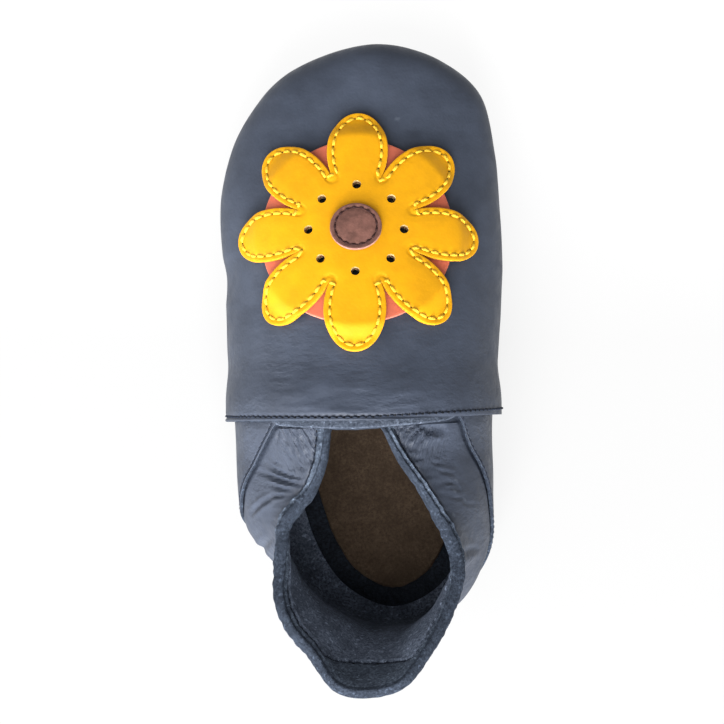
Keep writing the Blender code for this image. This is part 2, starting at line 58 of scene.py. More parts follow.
# Driving sizes, as in the part's source
SOLE_LENGTH = 121.2 * MM
BALL_WIDTH = 53.0 * MM
INSTEP_HEIGHT = 41.5 * MM
TAB_HEIGHT = 52.5 * MM
WIDEST_HEIGHT = 16.0 * MM
SIDE_OVERHANG = 9.0 * MM
SEAM_HEIGHT = 3.2 * MM
SEAM_ALLOWANCE = 1.8 * MM
TOE_SPRING = 3.0 * MM
ARCH_LIFT = 1.0 * MM

# Leather thicknesses
WALL = 1.4 * MM
CASING_THICKNESS = 2.1 * MM
CASING_DEPTH = 4.5 * MM
SOLE_THICKNESS = 1.8 * MM
INSOLE_THICKNESS = 1.2 * MM
VAMP_THICKNESS = 1.2 * MM
PANEL_THICKNESS = 1.1 * MM
PANEL_SHOWING = 0.24 * MM
UNDERLAY_THICKNESS = 0.8 * MM
DISC_THICKNESS = 0.9 * MM
FLOWER_THICKNESS = 0.9 * MM
CENTRE_THICKNESS = 0.9 * MM
CUT_RADIUS = 0.22 * MM

# Places and clearances
GAP = 0.3 * MM
SOLE_ROLL = 8.0 * MM
INSOLE_INSET = 5.8 * MM
THROAT_Y = -19.4 * MM
THROAT_SKEW = 1.6 * MM
SKEW_SHARE = 0.6
POLE_Y = 44.0 * MM
UNDERLAY_SHOWING = 1.35 * MM
UNDERLAY_LATERAL = 21.0 * MM
UNDERLAY_MEDIAL = 24.5 * MM
VAMP_LAP = 10.0 * MM
PANEL_LAP = 3.5 * MM
PANEL_LIMIT = 0.04
FIRST_SHARE = 0.12
SPRING_START = 0.30
ARCH_PLACE = -0.12
ARCH_SPAN = 0.24
ARCH_START = 0.3
INSIDE = (0.0, 0.0, 15.0 * MM)

# Where the middle control points of the ribs' curves lie, as shares of a curve's reach or climb:
# under the shoe's side, over the forefoot (with what is added over the toes), and up to the collar
UNDER_LEAVE, UNDER_CLIMB, UNDER_ARRIVE = 0.60, 0.04, 0.55
FRONT_LEAVE, FRONT_LEAVE_TOE = 0.62, 0.12
FRONT_ARRIVE, FRONT_ARRIVE_TOE = 0.50, 0.04
QUARTER_LEAVE, QUARTER_ARRIVE = 0.40, 0.42

# Applique sizes
FLOWER_CENTRE = (-0.4 * MM, 22.5 * MM)
FLOWER_RADIUS = 27.0 * MM
FLOWER_NOTCH = 13.0 * MM
FLOWER_STEP = 4.0 * MM
PETAL_ROUNDNESS = 0.65
PETALS = 8
DISC_RADIUS = 20.8 * MM
CENTRE_RADIUS = 5.2 * MM
PUNCH_RADIUS = 0.95 * MM
PUNCH_PLACE = 9.8 * MM
PUNCH_LENGTH = 3.6 * MM

# Collar casing, its seam, and the seam across the heel tab
CASING_SEAM = 3.0 * MM
CASING_GROOVE = 0.52 * MM
CASING_FOLD = 0.48 * MM
MEDIAL_NARROWING = 0.55 * MM
NARROWING_END = 0.10
CASING_PUFF = 0.55 * MM
RAW_SHARE = 0.46
LIP_RADIUS = 0.5 * MM
SEAM_RIDGE = 0.30 * MM
TAB_SEAM_Y = -69.9 * MM
TAB_SEAM_X = 3.0 * MM
TAB_SEAM_HALF = 9.1 * MM
TAB_SEAM_BOW = 1.25 * MM
GATHER_PITCH = 1.5 * MM
GATHER_RUN = 6.0 * MM
GATHER_DEPTH = 0.50 * MM

# Fine lines in the navy leather's bumps: where they begin and end along the shoe, their depth and turn.
# Wrinkles fade in from the first place to the second, gathers lie between their two places.
FINE_WRINKLES = (14 * MM, -16 * MM)
FINE_WRINKLE_DEPTH = 0.45 * MM
FINE_GATHERS = (-18.4 * MM, -33 * MM)
FINE_GATHER_DEPTH = 0.60 * MM
FINE_GATHER_TURN = 0.47

# How far the ankle leather swells out behind a side panel's seam, and how far back it settles
SWELL = 0.42 * MM
SWELL_RUN = 4.5 * MM

# Puckers along the seam between sole and upper, and the sharpest turn that is still shaded as smooth
PUCKER_PITCH = 1.9 * MM
PUCKER_DEPTH = 0.16 * MM
SMOOTH_TURN = np.radians(50)

# Stitches
STITCH_GROOVE = 0.20 * MM
GROOVE_WIDTH = 0.32 * MM
STITCH_COVER = 0.74
VAMP_SEAM = 1.05 * MM
VAMP_SEAM_FIRST = 8
VAMP_SEAM_SMOOTHING = 60
CORNER_FLARE = 0.5 * MM
VAMP_PITCH = 1.55 * MM
PANEL_SEAM = 1.05 * MM
PANEL_PITCH = 1.5 * MM
COLLAR_PITCH = 1.7 * MM
FLOWER_SEAM = 1.25 * MM
FLOWER_PITCH = 2.2 * MM
CENTRE_SEAM = 1.0 * MM
CENTRE_PITCH = 1.6 * MM
NAVY_THREAD = 0.24 * MM
PANEL_THREAD = 0.13 * MM
YELLOW_THREAD = 0.33 * MM

# The camera hangs a metre above the floor, a little to the shoe's medial side, at the photograph's angle
CAMERA_PLACE = (37.84 * MM, -5.28 * MM, 1000.0 * MM)
CAMERA_AIM = (0.3 * MM, -5.28 * MM, 20.0 * MM)
CAMERA_LENS = 226.0
CAMERA_SENSOR = 36.0

# Soft boxes a metre wide that face the shoe: name, place in metres, power in watts
SOFT_BOX = 1.0
LIGHT_AIM = (0.0, 0.0, 20.0 * MM)
LIGHTS = (
    ("rear softbox", (-0.10, -1.20, 0.60), 64.0),
    ("top softbox", (-0.15, -0.75, 1.10), 28.0),
    ("left softbox", (-1.20, -0.25, 0.40), 15.0),
)
SKY = 0.54

# The floor glows evenly round the heel and a little more past the toe, where the lights reach it less
FLOOR_SIZE = 3.0
FLOOR_DROP = 0.2 * MM
GLOW_REACH = 90 * MM
GLOW_REAR = 0.82
GLOW_FRONT = 0.96

# The sole's outline, from the back of the heel round the lateral side to the toe and back.
# across: share of BALL_WIDTH. along: share of SOLE_LENGTH.
# overhang: how far the upper stands out past the sole, share of SIDE_OVERHANG.
# widest: height of the widest line, share of WIDEST_HEIGHT.
OUTLINE_COLUMNS = ("across", "along", "overhang", "widest")
OUTLINE = (
    ("heel back", 0.123, -0.500, 0.35, 0.75),
    ("heel back lateral", -0.085, -0.462, 0.55, 0.81),
    ("heel lateral", -0.230, -0.371, 0.90, 0.94),
    ("heel front lateral", -0.272, -0.318, 1.16, 0.98),
    ("rear waist lateral", -0.309, -0.264, 1.06, 1.00),
    ("waist lateral", -0.383, -0.157, 0.68, 0.97),
    ("middle lateral", -0.457, -0.031, 0.37, 0.88),
    ("ball lateral", -0.485, 0.111, 0.29, 0.81),
    ("joint lateral", -0.500, 0.254, 0.26, 0.78),
    ("toe lateral", -0.445, 0.350, 0.24, 0.75),
    ("toe corner lateral", -0.287, 0.446, 0.19, 0.72),
    ("toe front lateral", -0.094, 0.489, 0.16, 0.72),
    ("toe tip", 0.066, 0.500, 0.15, 0.72),
    ("toe front medial", 0.298, 0.474, 0.18, 0.72),
    ("toe corner medial", 0.425, 0.418, 0.23, 0.75),
    ("toe medial", 0.477, 0.322, 0.24, 0.78),
    ("ball medial", 0.498, 0.182, 0.26, 0.81),
    ("middle medial", 0.483, -0.031, 0.28, 0.88),
    ("waist medial", 0.468, -0.157, 0.27, 0.97),
    ("rear waist medial", 0.468, -0.264, 0.30, 1.00),
    ("heel medial", 0.442, -0.380, 0.38, 0.94),
    ("heel back medial", 0.321, -0.464, 0.42, 0.81),
)

# The instep line, from the throat to the pole above the toes.
# along: share of the way from THROAT_Y to POLE_Y. height: share of INSTEP_HEIGHT.
INSTEP_COLUMNS = ("along", "across", "height", "corner")
INSTEP = (
    ("throat", 0.00, -0.007, 1.000, 0.865),
    ("instep", 0.18, -0.003, 0.965, 0.84),
    ("rear of ball", 0.38, 0.000, 0.880, 0.82),
    ("ball", 0.62, 0.002, 0.760, 0.81),
    ("toe joints", 0.86, 0.012, 0.630, 0.80),
    ("pole", 1.00, 0.022, 0.550, 0.80),
)

# The collar's edge between the two corners of the throat, round the heel.
# foot: where the rib starts, 0 at the lateral corner, 0.5 at the back of the heel, 1 at the medial corner.
# across, along: as in OUTLINE. height: share of TAB_HEIGHT.
# lean: the wall's slope at the edge, degrees from upright, inwards positive.
# pinch: how far the elastic draws the wall in below the edge, share of SIDE_OVERHANG.
COLLAR_COLUMNS = ("foot", "across", "along", "height", "lean", "pinch")
COLLAR = (
    ("side front lateral", 0.050, -0.132, -0.219, 0.755, 64.0, 0.00),
    ("side lateral", 0.097, -0.177, -0.262, 0.735, 58.0, 0.00),
    ("side rear lateral", 0.139, -0.245, -0.294, 0.726, 40.0, 0.05),
    ("turn lateral", 0.180, -0.306, -0.326, 0.724, 10.0, 0.15),
    ("ankle lateral", 0.222, -0.326, -0.367, 0.728, -15.0, 0.25),
    ("rear ankle lateral", 0.278, -0.336, -0.417, 0.743, -32.0, 0.30),
    ("heel collar lateral", 0.325, -0.332, -0.462, 0.776, -38.0, 0.25),
    ("tab root lateral", 0.378, -0.275, -0.517, 0.830, -40.0, 0.20),
    ("tab side lateral", 0.419, -0.185, -0.560, 0.885, -38.0, 0.15),
    ("tab corner lateral", 0.455, -0.094, -0.610, 0.962, -34.0, 0.10),
    ("tab end", 0.503, 0.060, -0.624, 1.000, -32.0, 0.10),
    ("tab corner medial", 0.549, 0.213, -0.602, 0.968, -34.0, 0.10),
    ("tab side medial", 0.582, 0.295, -0.555, 0.897, -38.0, 0.10),
    ("tab root medial", 0.613, 0.355, -0.512, 0.836, -36.0, 0.10),
    ("heel collar medial", 0.658, 0.403, -0.462, 0.780, -32.0, 0.12),
    ("rear ankle medial", 0.709, 0.426, -0.413, 0.750, -20.0, 0.12),
    ("ankle medial", 0.749, 0.413, -0.380, 0.735, -5.0, 0.10),
    ("turn medial", 0.791, 0.377, -0.345, 0.728, 20.0, 0.05),
    ("side rear medial", 0.845, 0.311, -0.303, 0.729, 50.0, 0.00),
    ("side medial", 0.901, 0.238, -0.254, 0.740, 62.0, 0.00),
    ("side front medial", 0.955, 0.162, -0.208, 0.757, 66.0, 0.00),
)

# The seam at the back of each side panel is a plane cut through the upper.
# across: share of BALL_WIDTH, along: of SOLE_LENGTH and height: of INSTEP_HEIGHT of a point on it.
# rise: how far the seam runs forward for each unit up.
# sweep: how far it runs forward for each unit towards the big toe's side.
PANEL_COLUMNS = ("across", "along", "height", "rise", "sweep")
PANEL_CUTS = (
    ("lateral", -0.477, -0.252, 0.627, 0.740, 0.566),
    ("medial", 0.485, -0.227, 0.627, 1.292, -0.426),
)

# A crease's ridges: how far from its middle in widths, and how high as a share of its depth.
# The fade is the power that shapes how a crease runs out at its two ends.
RIDGE_PLACE = 1.9
RIDGE_HEIGHT = 0.5
CREASE_FADE = 0.8

# Main creases, each from one place to another in plan: a soft trough with a ridge on either side.
# A row holds the start's share of BALL_WIDTH and of SOLE_LENGTH, the end's, the sideways bend as a share
# of the crease's length, and its width and depth in millimetres.
QUARTER_CREASES = {
    "lateral gathers": (
        (-0.300, -0.162, -0.282, -0.192, 0.05, 0.34, 0.32),
        (-0.318, -0.176, -0.254, -0.218, -0.02, 0.34, 0.32),
        (-0.282, -0.161, -0.240, -0.204, -0.08, 0.36, 0.30),
        (-0.256, -0.161, -0.206, -0.221, -0.05, 0.36, 0.26),
        (-0.232, -0.161, -0.182, -0.202, -0.05, 0.34, 0.18),
        (-0.214, -0.161, -0.176, -0.182, -0.06, 0.32, 0.12),
        (-0.347, -0.214, -0.303, -0.227, 0.00, 0.32, 0.28),
        (-0.319, -0.164, -0.330, -0.188, 0.08, 0.34, 0.34),
    ),
    "lateral folds": (
        (-0.382, -0.214, -0.203, -0.247, -0.11, 0.42, 0.40),
        (-0.415, -0.234, -0.203, -0.260, -0.04, 0.46, 0.52),
        (-0.370, -0.256, -0.240, -0.268, -0.07, 0.40, 0.36),
        (-0.356, -0.279, -0.290, -0.278, -0.05, 0.38, 0.44),
        (-0.448, -0.315, -0.336, -0.279, 0.04, 0.50, 0.56),
        (-0.248, -0.225, -0.204, -0.234, 0.10, 0.36, 0.36),
    ),
    "lateral ankle fold": (
        (-0.420, -0.390, -0.345, -0.352, 0.08, 0.80, 0.50),
    ),
    "medial gathers": (
        (0.205, -0.184, 0.276, -0.154, 0.06, 0.38, 0.50),
        (0.180, -0.176, 0.246, -0.152, 0.10, 0.36, 0.46),
        (0.238, -0.190, 0.300, -0.158, 0.02, 0.36, 0.36),
        (0.150, -0.170, 0.205, -0.153, 0.08, 0.34, 0.36),
    ),
    "medial dimple": (
        (0.250, -0.160, 0.352, -0.157, -0.05, 1.00, 0.72),
    ),
    "medial folds": (
        (0.318, -0.234, 0.387, -0.239, -0.03, 0.36, 0.26),
        (0.338, -0.256, 0.407, -0.261, 0.06, 0.38, 0.30),
        (0.342, -0.265, 0.414, -0.267, 0.03, 0.36, 0.26),
        (0.362, -0.279, 0.435, -0.280, -0.10, 0.38, 0.24),
        (0.414, -0.291, 0.484, -0.294, -0.06, 0.38, 0.20),
        (0.288, -0.218, 0.347, -0.221, -0.06, 0.36, 0.22),
    ),
    "medial ankle fold": (
        (0.400, -0.392, 0.480, -0.372, 0.10, 0.80, 0.51),
    ),
}
VAMP_CREASES = {
    "rear wrinkles": (
        (-0.290, -0.116, 0.000, -0.096, -0.02, 0.50, 0.30),
        (-0.235, -0.106, -0.068, -0.096, 0.03, 0.46, 0.24),
        (-0.012, -0.105, 0.082, -0.100, 0.05, 0.46, 0.26),
        (0.160, -0.072, 0.213, -0.056, 0.04, 0.48, 0.24),
        (-0.355, -0.070, -0.200, -0.081, 0.03, 0.48, 0.20),
        (0.087, -0.118, 0.270, -0.107, 0.03, 0.60, 0.24),
        (-0.330, -0.088, -0.150, -0.088, -0.03, 0.46, 0.20),
        (-0.250, -0.122, -0.080, -0.118, 0.04, 0.44, 0.20),
    ),
    "rear hollow": (
        (-0.190, -0.112, 0.060, -0.118, 0.02, 1.90, 0.26),
    ),
    "side dent lateral": (
        (-0.500, 0.060, -0.485, 0.150, 0.10, 2.40, 0.52),
    ),
}

# Mesh density
FRONT_STEP = 2.4 * MM
VAMP_STEP = 0.75 * MM
COLLAR_STEP = 0.42 * MM
FOOT_ROWS = 9
SIDE_ROWS = 46
TOP_ROWS = 12
FAN_RIBS = 72
UNDERLAY_STEPS = 46
PANEL_ROWS = 84
EDGE_STEP = 0.29 * MM
EDGE_ZONE = 10.5 * MM
SOLE_STEPS = 260
WALK_STEP = 0.8 * MM
PETAL_SPOKES = 88
SPOKE_STEP = 0.42 * MM
RIM_ROWS = 5
DISC_SPOKES = 260
CENTRE_SPOKES = 120
LINE_POINTS = 1600


def hermite(keys, values, at):
    """Smooth values through rows at rising keys; the slope at a key blends its two neighbours' slopes."""
    keys, values, at = np.asarray(keys, float), np.asarray(values, float), np.asarray(at, float)
    run = np.diff(keys)
    slope = np.diff(values) / run
    inner = (slope[:-1] * run[1:] + slope[1:] * run[:-1]) / (run[:-1] + run[1:])
    slopes = np.concatenate([[slope[0]], inner, [slope[-1]]])
    i = np.clip(np.searchsorted(keys, at, side="right") - 1, 0, len(run) - 1)
    h = run[i]
    t = (at - keys[i]) / h
    return (
        values[i] * (2 * t**3 - 3 * t**2 + 1)
        + slopes[i] * h * (t**3 - 2 * t**2 + t)
        + values[i + 1] * (3 * t**2 - 2 * t**3)
        + slopes[i + 1] * h * (t**3 - t**2)
    )


def column(table, columns, name):
    """One named column of a table whose rows start with their own name."""
    return np.array([row[1 + columns.index(name)] for row in table], float)


def smooth_step(x):
    """Softly from 0 to 1 as x runs from 0 to 1."""
    x = np.clip(x, 0.0, 1.0)
    return x * x * (3 - 2 * x)


def bell(distance, width):
    """1 on a line, falling off softly on either side of it."""
    return np.exp(-((distance / width) ** 2))


def unit(vectors):
    """The same directions at length 1."""
    return vectors / np.linalg.norm(vectors, axis=-1, keepdims=True)


def plan(across, along):
    """A place in plan from its shares of the width and the length."""
    return np.array([across * BALL_WIDTH, along * SOLE_LENGTH])


def rise(x, y):
    """The sole's height above the floor: it springs up before the ball and arches at the medial waist."""
    along = y / SOLE_LENGTH
    spring = np.clip((along - SPRING_START) / (0.5 - SPRING_START), 0, None) ** 2
    medial = smooth_step((2 * x / BALL_WIDTH - ARCH_START) / (1 - ARCH_START))
    arch = (1 - smooth_step(abs(along - ARCH_PLACE) / ARCH_SPAN)) * medial
    return TOE_SPRING * spring + ARCH_LIFT * arch


def bezier(control, t):
    """Points at shares t of the cubic with four control points."""
    t = np.asarray(t, float)[:, None]
    a, b, c, d = (np.asarray(p, float)[None, :] for p in control)
    return a * (1 - t) ** 3 + 3 * b * (1 - t) ** 2 * t + 3 * c * (1 - t) * t**2 + d * t**3


def first_part(control, t):
    """The control points of the cubic's first part, up to share t."""
    a, b, c, d = (np.asarray(p, float) for p in control)
    ab, bc, cd = a + (b - a) * t, b + (c - b) * t, c + (d - c) * t
    abc, bcd = ab + (bc - ab) * t, bc + (cd - bc) * t
    return [a, ab, abc, abc + (bcd - abc) * t]


def length_along(points):
    """The distance run at each point of a line."""
    return np.concatenate([[0.0], np.cumsum(np.linalg.norm(np.diff(points, axis=0), axis=1))])


class Outline:
    """The sole's closed outline, read by the share of its perimeter from the back of the heel."""

    def __init__(self):
        x = column(OUTLINE, OUTLINE_COLUMNS, "across") * BALL_WIDTH
        y = column(OUTLINE, OUTLINE_COLUMNS, "along") * SOLE_LENGTH
        steps = np.hypot(np.diff(x, append=x[0]), np.diff(y, append=y[0]))
        self.perimeter = steps.sum()
        share = np.concatenate([[0], np.cumsum(steps)]) / self.perimeter
        self.columns = {
            "x": x,
            "y": y,
            "overhang": column(OUTLINE, OUTLINE_COLUMNS, "overhang") * SIDE_OVERHANG,
            "widest": column(OUTLINE, OUTLINE_COLUMNS, "widest") * WIDEST_HEIGHT,
        }
        self.keys = np.concatenate([share[-4:-1] - 1, share, 1 + share[1:4]])
        self.share = share

    def read(self, name, at):
        """A column's value at a share of the perimeter."""
        v = self.columns[name]
        return hermite(self.keys, np.concatenate([v[-3:], v, v[:4]]), np.mod(at, 1.0))

    def point(self, at):
        """The point in plan at a share of the perimeter."""
        return np.stack([self.read("x", at), self.read("y", at)], -1)

    def normal(self, at):
        """The outward direction in plan."""
        step = 1e-4
        tangent = self.point(np.asarray(at) + step) - self.point(np.asarray(at) - step)
        return unit(np.stack([-tangent[..., 1], tangent[..., 0]], -1))

    def foot_at(self, side, y):
        """The share at which one side's widest line is at y, between heel and toe."""
        tip = self.share[[row[0] for row in OUTLINE].index("toe tip")]
        ends = (0.06, tip - 0.04) if side == "lateral" else (0.94, tip + 0.04)
        span = np.linspace(*ends, 200)
        wide = self.read("y", span) + self.normal(span)[:, 1] * self.read("overhang", span)
        return float(np.interp(y, wide, span))


OUT = Outline()
UP = np.array([0.0, 0.0, 1.0])


def rib_start(foot):
    """The seam point, the widest point and the outward direction of the rib at this foot."""
    seam, out = OUT.point(foot), OUT.normal(foot)
    wide = seam + out * OUT.read("overhang", foot)
    floor = rise(*seam)
    return (
        np.array([*seam, SEAM_HEIGHT + floor]),
        np.array([*wide, OUT.read("widest", foot) + floor]),
        np.array([*out, 0.0]),
    )


def foot_curve(foot):
    """The curve of a rib from the seam, under the shoe's side, to the widest line."""
    seam, wide, out = rib_start(foot)
    over, climb = np.linalg.norm(wide[:2] - seam[:2]), wide[2] - seam[2]
    leave = seam + out * over * UNDER_LEAVE + UP * climb * UNDER_CLIMB
    return [seam, leave, wide - UP * climb * UNDER_ARRIVE, wide]


def instep_point(y):
    """The instep line's point at y, its slope, and the rib's share at which the collar's corner lies."""
    along = (y - THROAT_Y) / (POLE_Y - THROAT_Y)
    keys = column(INSTEP, INSTEP_COLUMNS, "along")

    def read(name, at):
        return float(hermite(keys, column(INSTEP, INSTEP_COLUMNS, name), at))

    step = 0.01
    climb = (read("height", along + step / 2) - read("height", along - step / 2)) * INSTEP_HEIGHT
    slope = climb / (step * (POLE_Y - THROAT_Y))
    point = np.array([read("across", along) * BALL_WIDTH, y, read("height", along) * INSTEP_HEIGHT])
    return point, slope, read("corner", along)


def vamp_curve(foot, y):
    """The side curve of a rib that runs over the forefoot to the instep line at y."""
    _, wide, _ = rib_start(foot)
    top, slope, corner = instep_point(y)
    flat = (top - wide)[:2]
    reach = np.linalg.norm(flat)
    inward = flat / reach
    toe = smooth_step((OUT.read("y", foot) - POLE_Y) / (0.5 * SOLE_LENGTH - POLE_Y))
    tangent = np.array([*inward, slope * inward[1]])
    climb = (top[2] - wide[2]) * (FRONT_LEAVE + FRONT_LEAVE_TOE * toe)
    arrive = top - tangent * reach * (FRONT_ARRIVE + FRONT_ARRIVE_TOE * toe)
    return [wide, wide + np.array([0, 0, climb]), arrive, top], corner


def forefoot_rib(side, y):
    """The foot and side curve of the rib that meets the instep line at y, and its share at the corner."""
    skew = THROAT_SKEW * (1 - smooth_step((y - THROAT_Y) / (SKEW_SHARE * (POLE_Y - THROAT_Y))))
    foot = OUT.foot_at(side, y if side == "lateral" else y + skew)
    return foot, *vamp_curve(foot, y)


def quarter_keys():
    """The feet and side curves of the collar's ribs, from the lateral corner to the medial one."""
    first, curve, corner = forefoot_rib("lateral", THROAT_Y)
    rows = [(first, first_part(curve, corner))]
    last, curve, corner = forefoot_rib("medial", THROAT_Y)
    for row in COLLAR:
        r = dict(zip(COLLAR_COLUMNS, row[1:]))
        side = first if r["foot"] < 0.5 else 1.0 - last
        foot = (1 - 2 * r["foot"]) * side
        _, wide, out = rib_start(foot)
        top = np.array([*plan(r["across"], r["along"]), r["height"] * TAB_HEIGHT])
        lean = np.radians(r["lean"])
        drawn = r["pinch"] * SIDE_OVERHANG
        length = np.linalg.norm(top - wide)
        leave = wide - out * drawn + UP * QUARTER_LEAVE * (top[2] - wide[2])
        arrive = top - (UP * np.cos(lean) - out * np.sin(lean)) * QUARTER_ARRIVE * length
        rows.append((foot, [wide, leave, arrive, top]))
    rows.append((last - 1.0, first_part(curve, corner)))
    return np.array([r[0] for r in rows]), np.array([r[1] for r in rows])


QUARTER_FEET, QUARTER_CURVES = quarter_keys()


def quarter_rib(foot):
    """The side curve of the rib at any foot between the two corners of the throat."""
    shape = QUARTER_CURVES.reshape(len(QUARTER_FEET), 12)
    order = np.argsort(QUARTER_FEET)
    at = [float(hermite(QUARTER_FEET[order], shape[order, c], foot)) for c in range(12)]
    curve = np.array(at).reshape(4, 3)
    curve[0] = rib_start(foot)[1]
    return list(curve)


def quarter_feet(step):
    """The feet of the collar ribs, closer where the feet or the collar's edge run on faster."""
    feet = [QUARTER_FEET[0]]
    for i in range(len(QUARTER_FEET) - 1):
        a, b = QUARTER_CURVES[i], QUARTER_CURVES[i + 1]
        length = (np.linalg.norm(b[0] - a[0]) + np.linalg.norm(b[3] - a[3])) / 2
        steps = max(1, round(length / step))
        feet += list(np.linspace(QUARTER_FEET[i], QUARTER_FEET[i + 1], steps + 1)[1:])
    return feet


def panel_plane(side):
    """A point and the rearward direction of the plane in which a side panel's seam lies."""
    names = [row[0] for row in PANEL_CUTS]
    cut = dict(zip(PANEL_COLUMNS, PANEL_CUTS[names.index(side)][1:]))
    point = np.array([*plan(cut["across"], cut["along"]), cut["height"] * INSTEP_HEIGHT])
    return point, unit(np.array([cut["sweep"], -1.0, cut["rise"]]))


def vamp_lift(y):
    """The vamp's height above the upper: close over the toes, above the side panels at its rear edge."""
    rear = THROAT_Y + UNDERLAY_SHOWING
    share = 1 - smooth_step((y - rear - PANEL_LAP) / VAMP_LAP)
    return GAP + (PANEL_THICKNESS + GAP) * share


def rounded(distance, radius):
    """From 0 at a cut edge to 1 at the radius, along a quarter circle."""
    return np.sqrt(np.clip(1 - (1 - np.clip(distance / radius, 0, 1)) ** 2, 0, 1))


def edge_rows(radius, step, zone):
    """Distances from a cut edge: close ones for its rounding, then even ones to the end of the zone."""
    turn = radius * (1 - np.cos(np.linspace(0, np.pi / 2, 5)))
    even = np.arange(radius + step, zone, step)
    return np.concatenate([turn, even])


def ridged(points, pitch, run=1.0, seed=0.0):
    """Soft noise at each (place, distance) pair, drawn out across the direction of the places."""
    return np.array([noise.noise(Vector((a / pitch, b / (pitch * run), seed))) for a, b in points])


def undulation(points, size, seed):
    """Soft noise in space, with bumps of about this size."""
    return np.array([noise.noise(Vector(p) / size + Vector((seed, 0, 0))) for p in points])


def creases(points, groups):
    """How far groups of creases push each point out: a trough with a soft ridge on either side."""
    total = np.zeros(len(points))
    for row in (row for rows in groups.values() for row in rows):
        bow, width, depth = row[4], row[5] * MM, row[6] * MM
        start, end = plan(*row[:2]), plan(*row[2:4])
        length = np.linalg.norm(end - start)
        ahead = (end - start) / length
        across = np.array([-ahead[1], ahead[0]])
        t = (points[:, :2] - start) @ ahead / length
        off = (points[:, :2] - start) @ across - bow * length * 4 * t * (1 - t)
        fade = np.sin(np.pi * np.clip(t, 0, 1)) ** CREASE_FADE
        ridges = RIDGE_HEIGHT * bell(abs(off) - RIDGE_PLACE * width, width)
        total += depth * fade * (ridges - bell(off, width))
    return total


def puckers(foot, climb, start):
    """Small upright waves above the sole's seam, from a height share on to the widest line."""
    wave = ridged(np.stack([foot, climb], -1), PUCKER_PITCH, 400.0, 5.0) * PUCKER_DEPTH
    return wave * (1 - smooth_step(climb / 0.9)) * smooth_step(climb / start)


class Net:
    """A sheet of points and four-cornered faces, with marks that say where on the sheet each point lies."""

    def __init__(self):
        self.points, self.marks, self.faces = [], [], []

    def add(self, points, marks):
        """Adds points and returns their numbers."""
        first = len(self.points)
        self.points.extend(points)
        self.marks.extend(marks)
        return list(range(first, first + len(points)))

    def weave(self, rows):
        """Adds the faces between neighbouring rows of points."""
        for a, b in zip(rows[:-1], rows[1:]):
            for j in range(min(len(a), len(b)) - 1):
                self.faces.append((a[j], a[j + 1], b[j + 1], b[j]))

    def done(self):
        """The points, marks and faces, with the faces turned to look away from the inside of the shoe."""
        points, marks, faces = np.array(self.points), np.array(self.marks), np.array(self.faces)
        a, b, c, d = (points[faces[:, k]] for k in range(4))
        facing = (np.cross(c - a, d - b) * ((a + b + c + d) / 4 - INSIDE)).sum()
        return points, marks, faces if facing > 0 else faces[:, ::-1]


def normals(points, faces):
    """The surface's direction at each point, from the faces round it."""
    a, b, c, d = (points[faces[:, k]] for k in range(4))
    face = np.cross(c - a, d - b)
    total = np.zeros_like(points)
    for k in range(4):
        np.add.at(total, faces[:, k], face)
    return total / np.maximum(np.linalg.norm(total, axis=1, keepdims=True), 1e-12)


def placed(name, data):
    """A new object in the scene."""
    obj = bpy.data.objects.new(name, data)
    bpy.context.scene.collection.objects.link(obj)
    return obj


def mesh_of(name, bm):
    """A new mesh with the shape that has been built up in bm."""
    mesh = bpy.data.meshes.new(name)
    bm.to_mesh(mesh)
    bm.free()
    return mesh


def add_mesh(name, points, faces, materials, finish=None):
    """A smooth mesh object; faces may repeat a corner."""
    bm = bmesh.new()
    verts = [bm.verts.new(p) for p in points]
    for number, face in enumerate(faces):
        corners = list(dict.fromkeys(face))
        if len(corners) > 2:
            new = bm.faces.new([verts[i] for i in corners])
            new.material_index = int(finish[number]) if finish is not None else 0
    bmesh.ops.remove_doubles(bm, verts=bm.verts, dist=1e-7)
    mesh = mesh_of(name, bm)
    mesh.shade_smooth()
    mesh.set_sharp_from_angle(angle=SMOOTH_TURN)
    for material in materials:
        mesh.materials.append(material)
    return placed(name, mesh)


def sheets(points, normal, *offsets):
    """The surface moved out by each of some offsets."""
    return [points + normal * offset[:, None] for offset in offsets]


def leather_piece(name, sheet, faces, materials, looks=(0, 0, 0)):
    """A closed piece of leather between an outer and an inner sheet, joined along their borders.

    The looks are the numbers of the materials outside, inside and on the rim, for all faces or for each.
    """
    outer, inner = sheet
    count = len(outer)
    edges = np.concatenate([faces[:, [k, (k + 1) % 4]] for k in range(4)])
    edges = edges[edges[:, 0] != edges[:, 1]]
    key = np.sort(edges, axis=1) @ np.array([count, 1])
    _, place, times = np.unique(key, return_index=True, return_counts=True)
    a, b = edges[place[times == 1]].T
    rim = np.stack([b, a, a + count, b + count], -1)
    every = [faces, faces[:, ::-1] + count, rim]
    finish = np.concatenate([np.zeros(len(part)) + look for part, look in zip(every, looks)])
    return add_mesh(name, np.concatenate([outer, inner]), np.concatenate(every).tolist(), materials, finish)


def at_faces(values, faces):
    """The mean of a value over each face's corners."""
    return values[faces].mean(axis=1)


def forefoot_rows(net, stations, fan, columns):
    """Rows from the rear lateral rib round the toe to the rear medial one; all meet on the instep line."""
    lateral, medial, top = [], [], []
    for y in stations:
        points, marks = columns(*forefoot_rib("lateral", y))
        lateral.append(net.add(points, marks))
        top.append(lateral[-1][-1])
    for y, end in zip(stations, top):
        points, marks = columns(*forefoot_rib("medial", y))
        medial.append(net.add(points[:-1], marks[:-1]) + [end])
    feet = np.linspace(forefoot_rib("lateral", POLE_Y)[0], forefoot_rib("medial", POLE_Y)[0], fan + 1)[1:-1]
    toe = []
    for foot in feet:
        points, marks = columns(foot, *vamp_curve(foot, POLE_Y))
        toe.append(net.add(points[:-1], marks[:-1]) + [top[-1]])
    return [*lateral, *toe, *medial[::-1]]


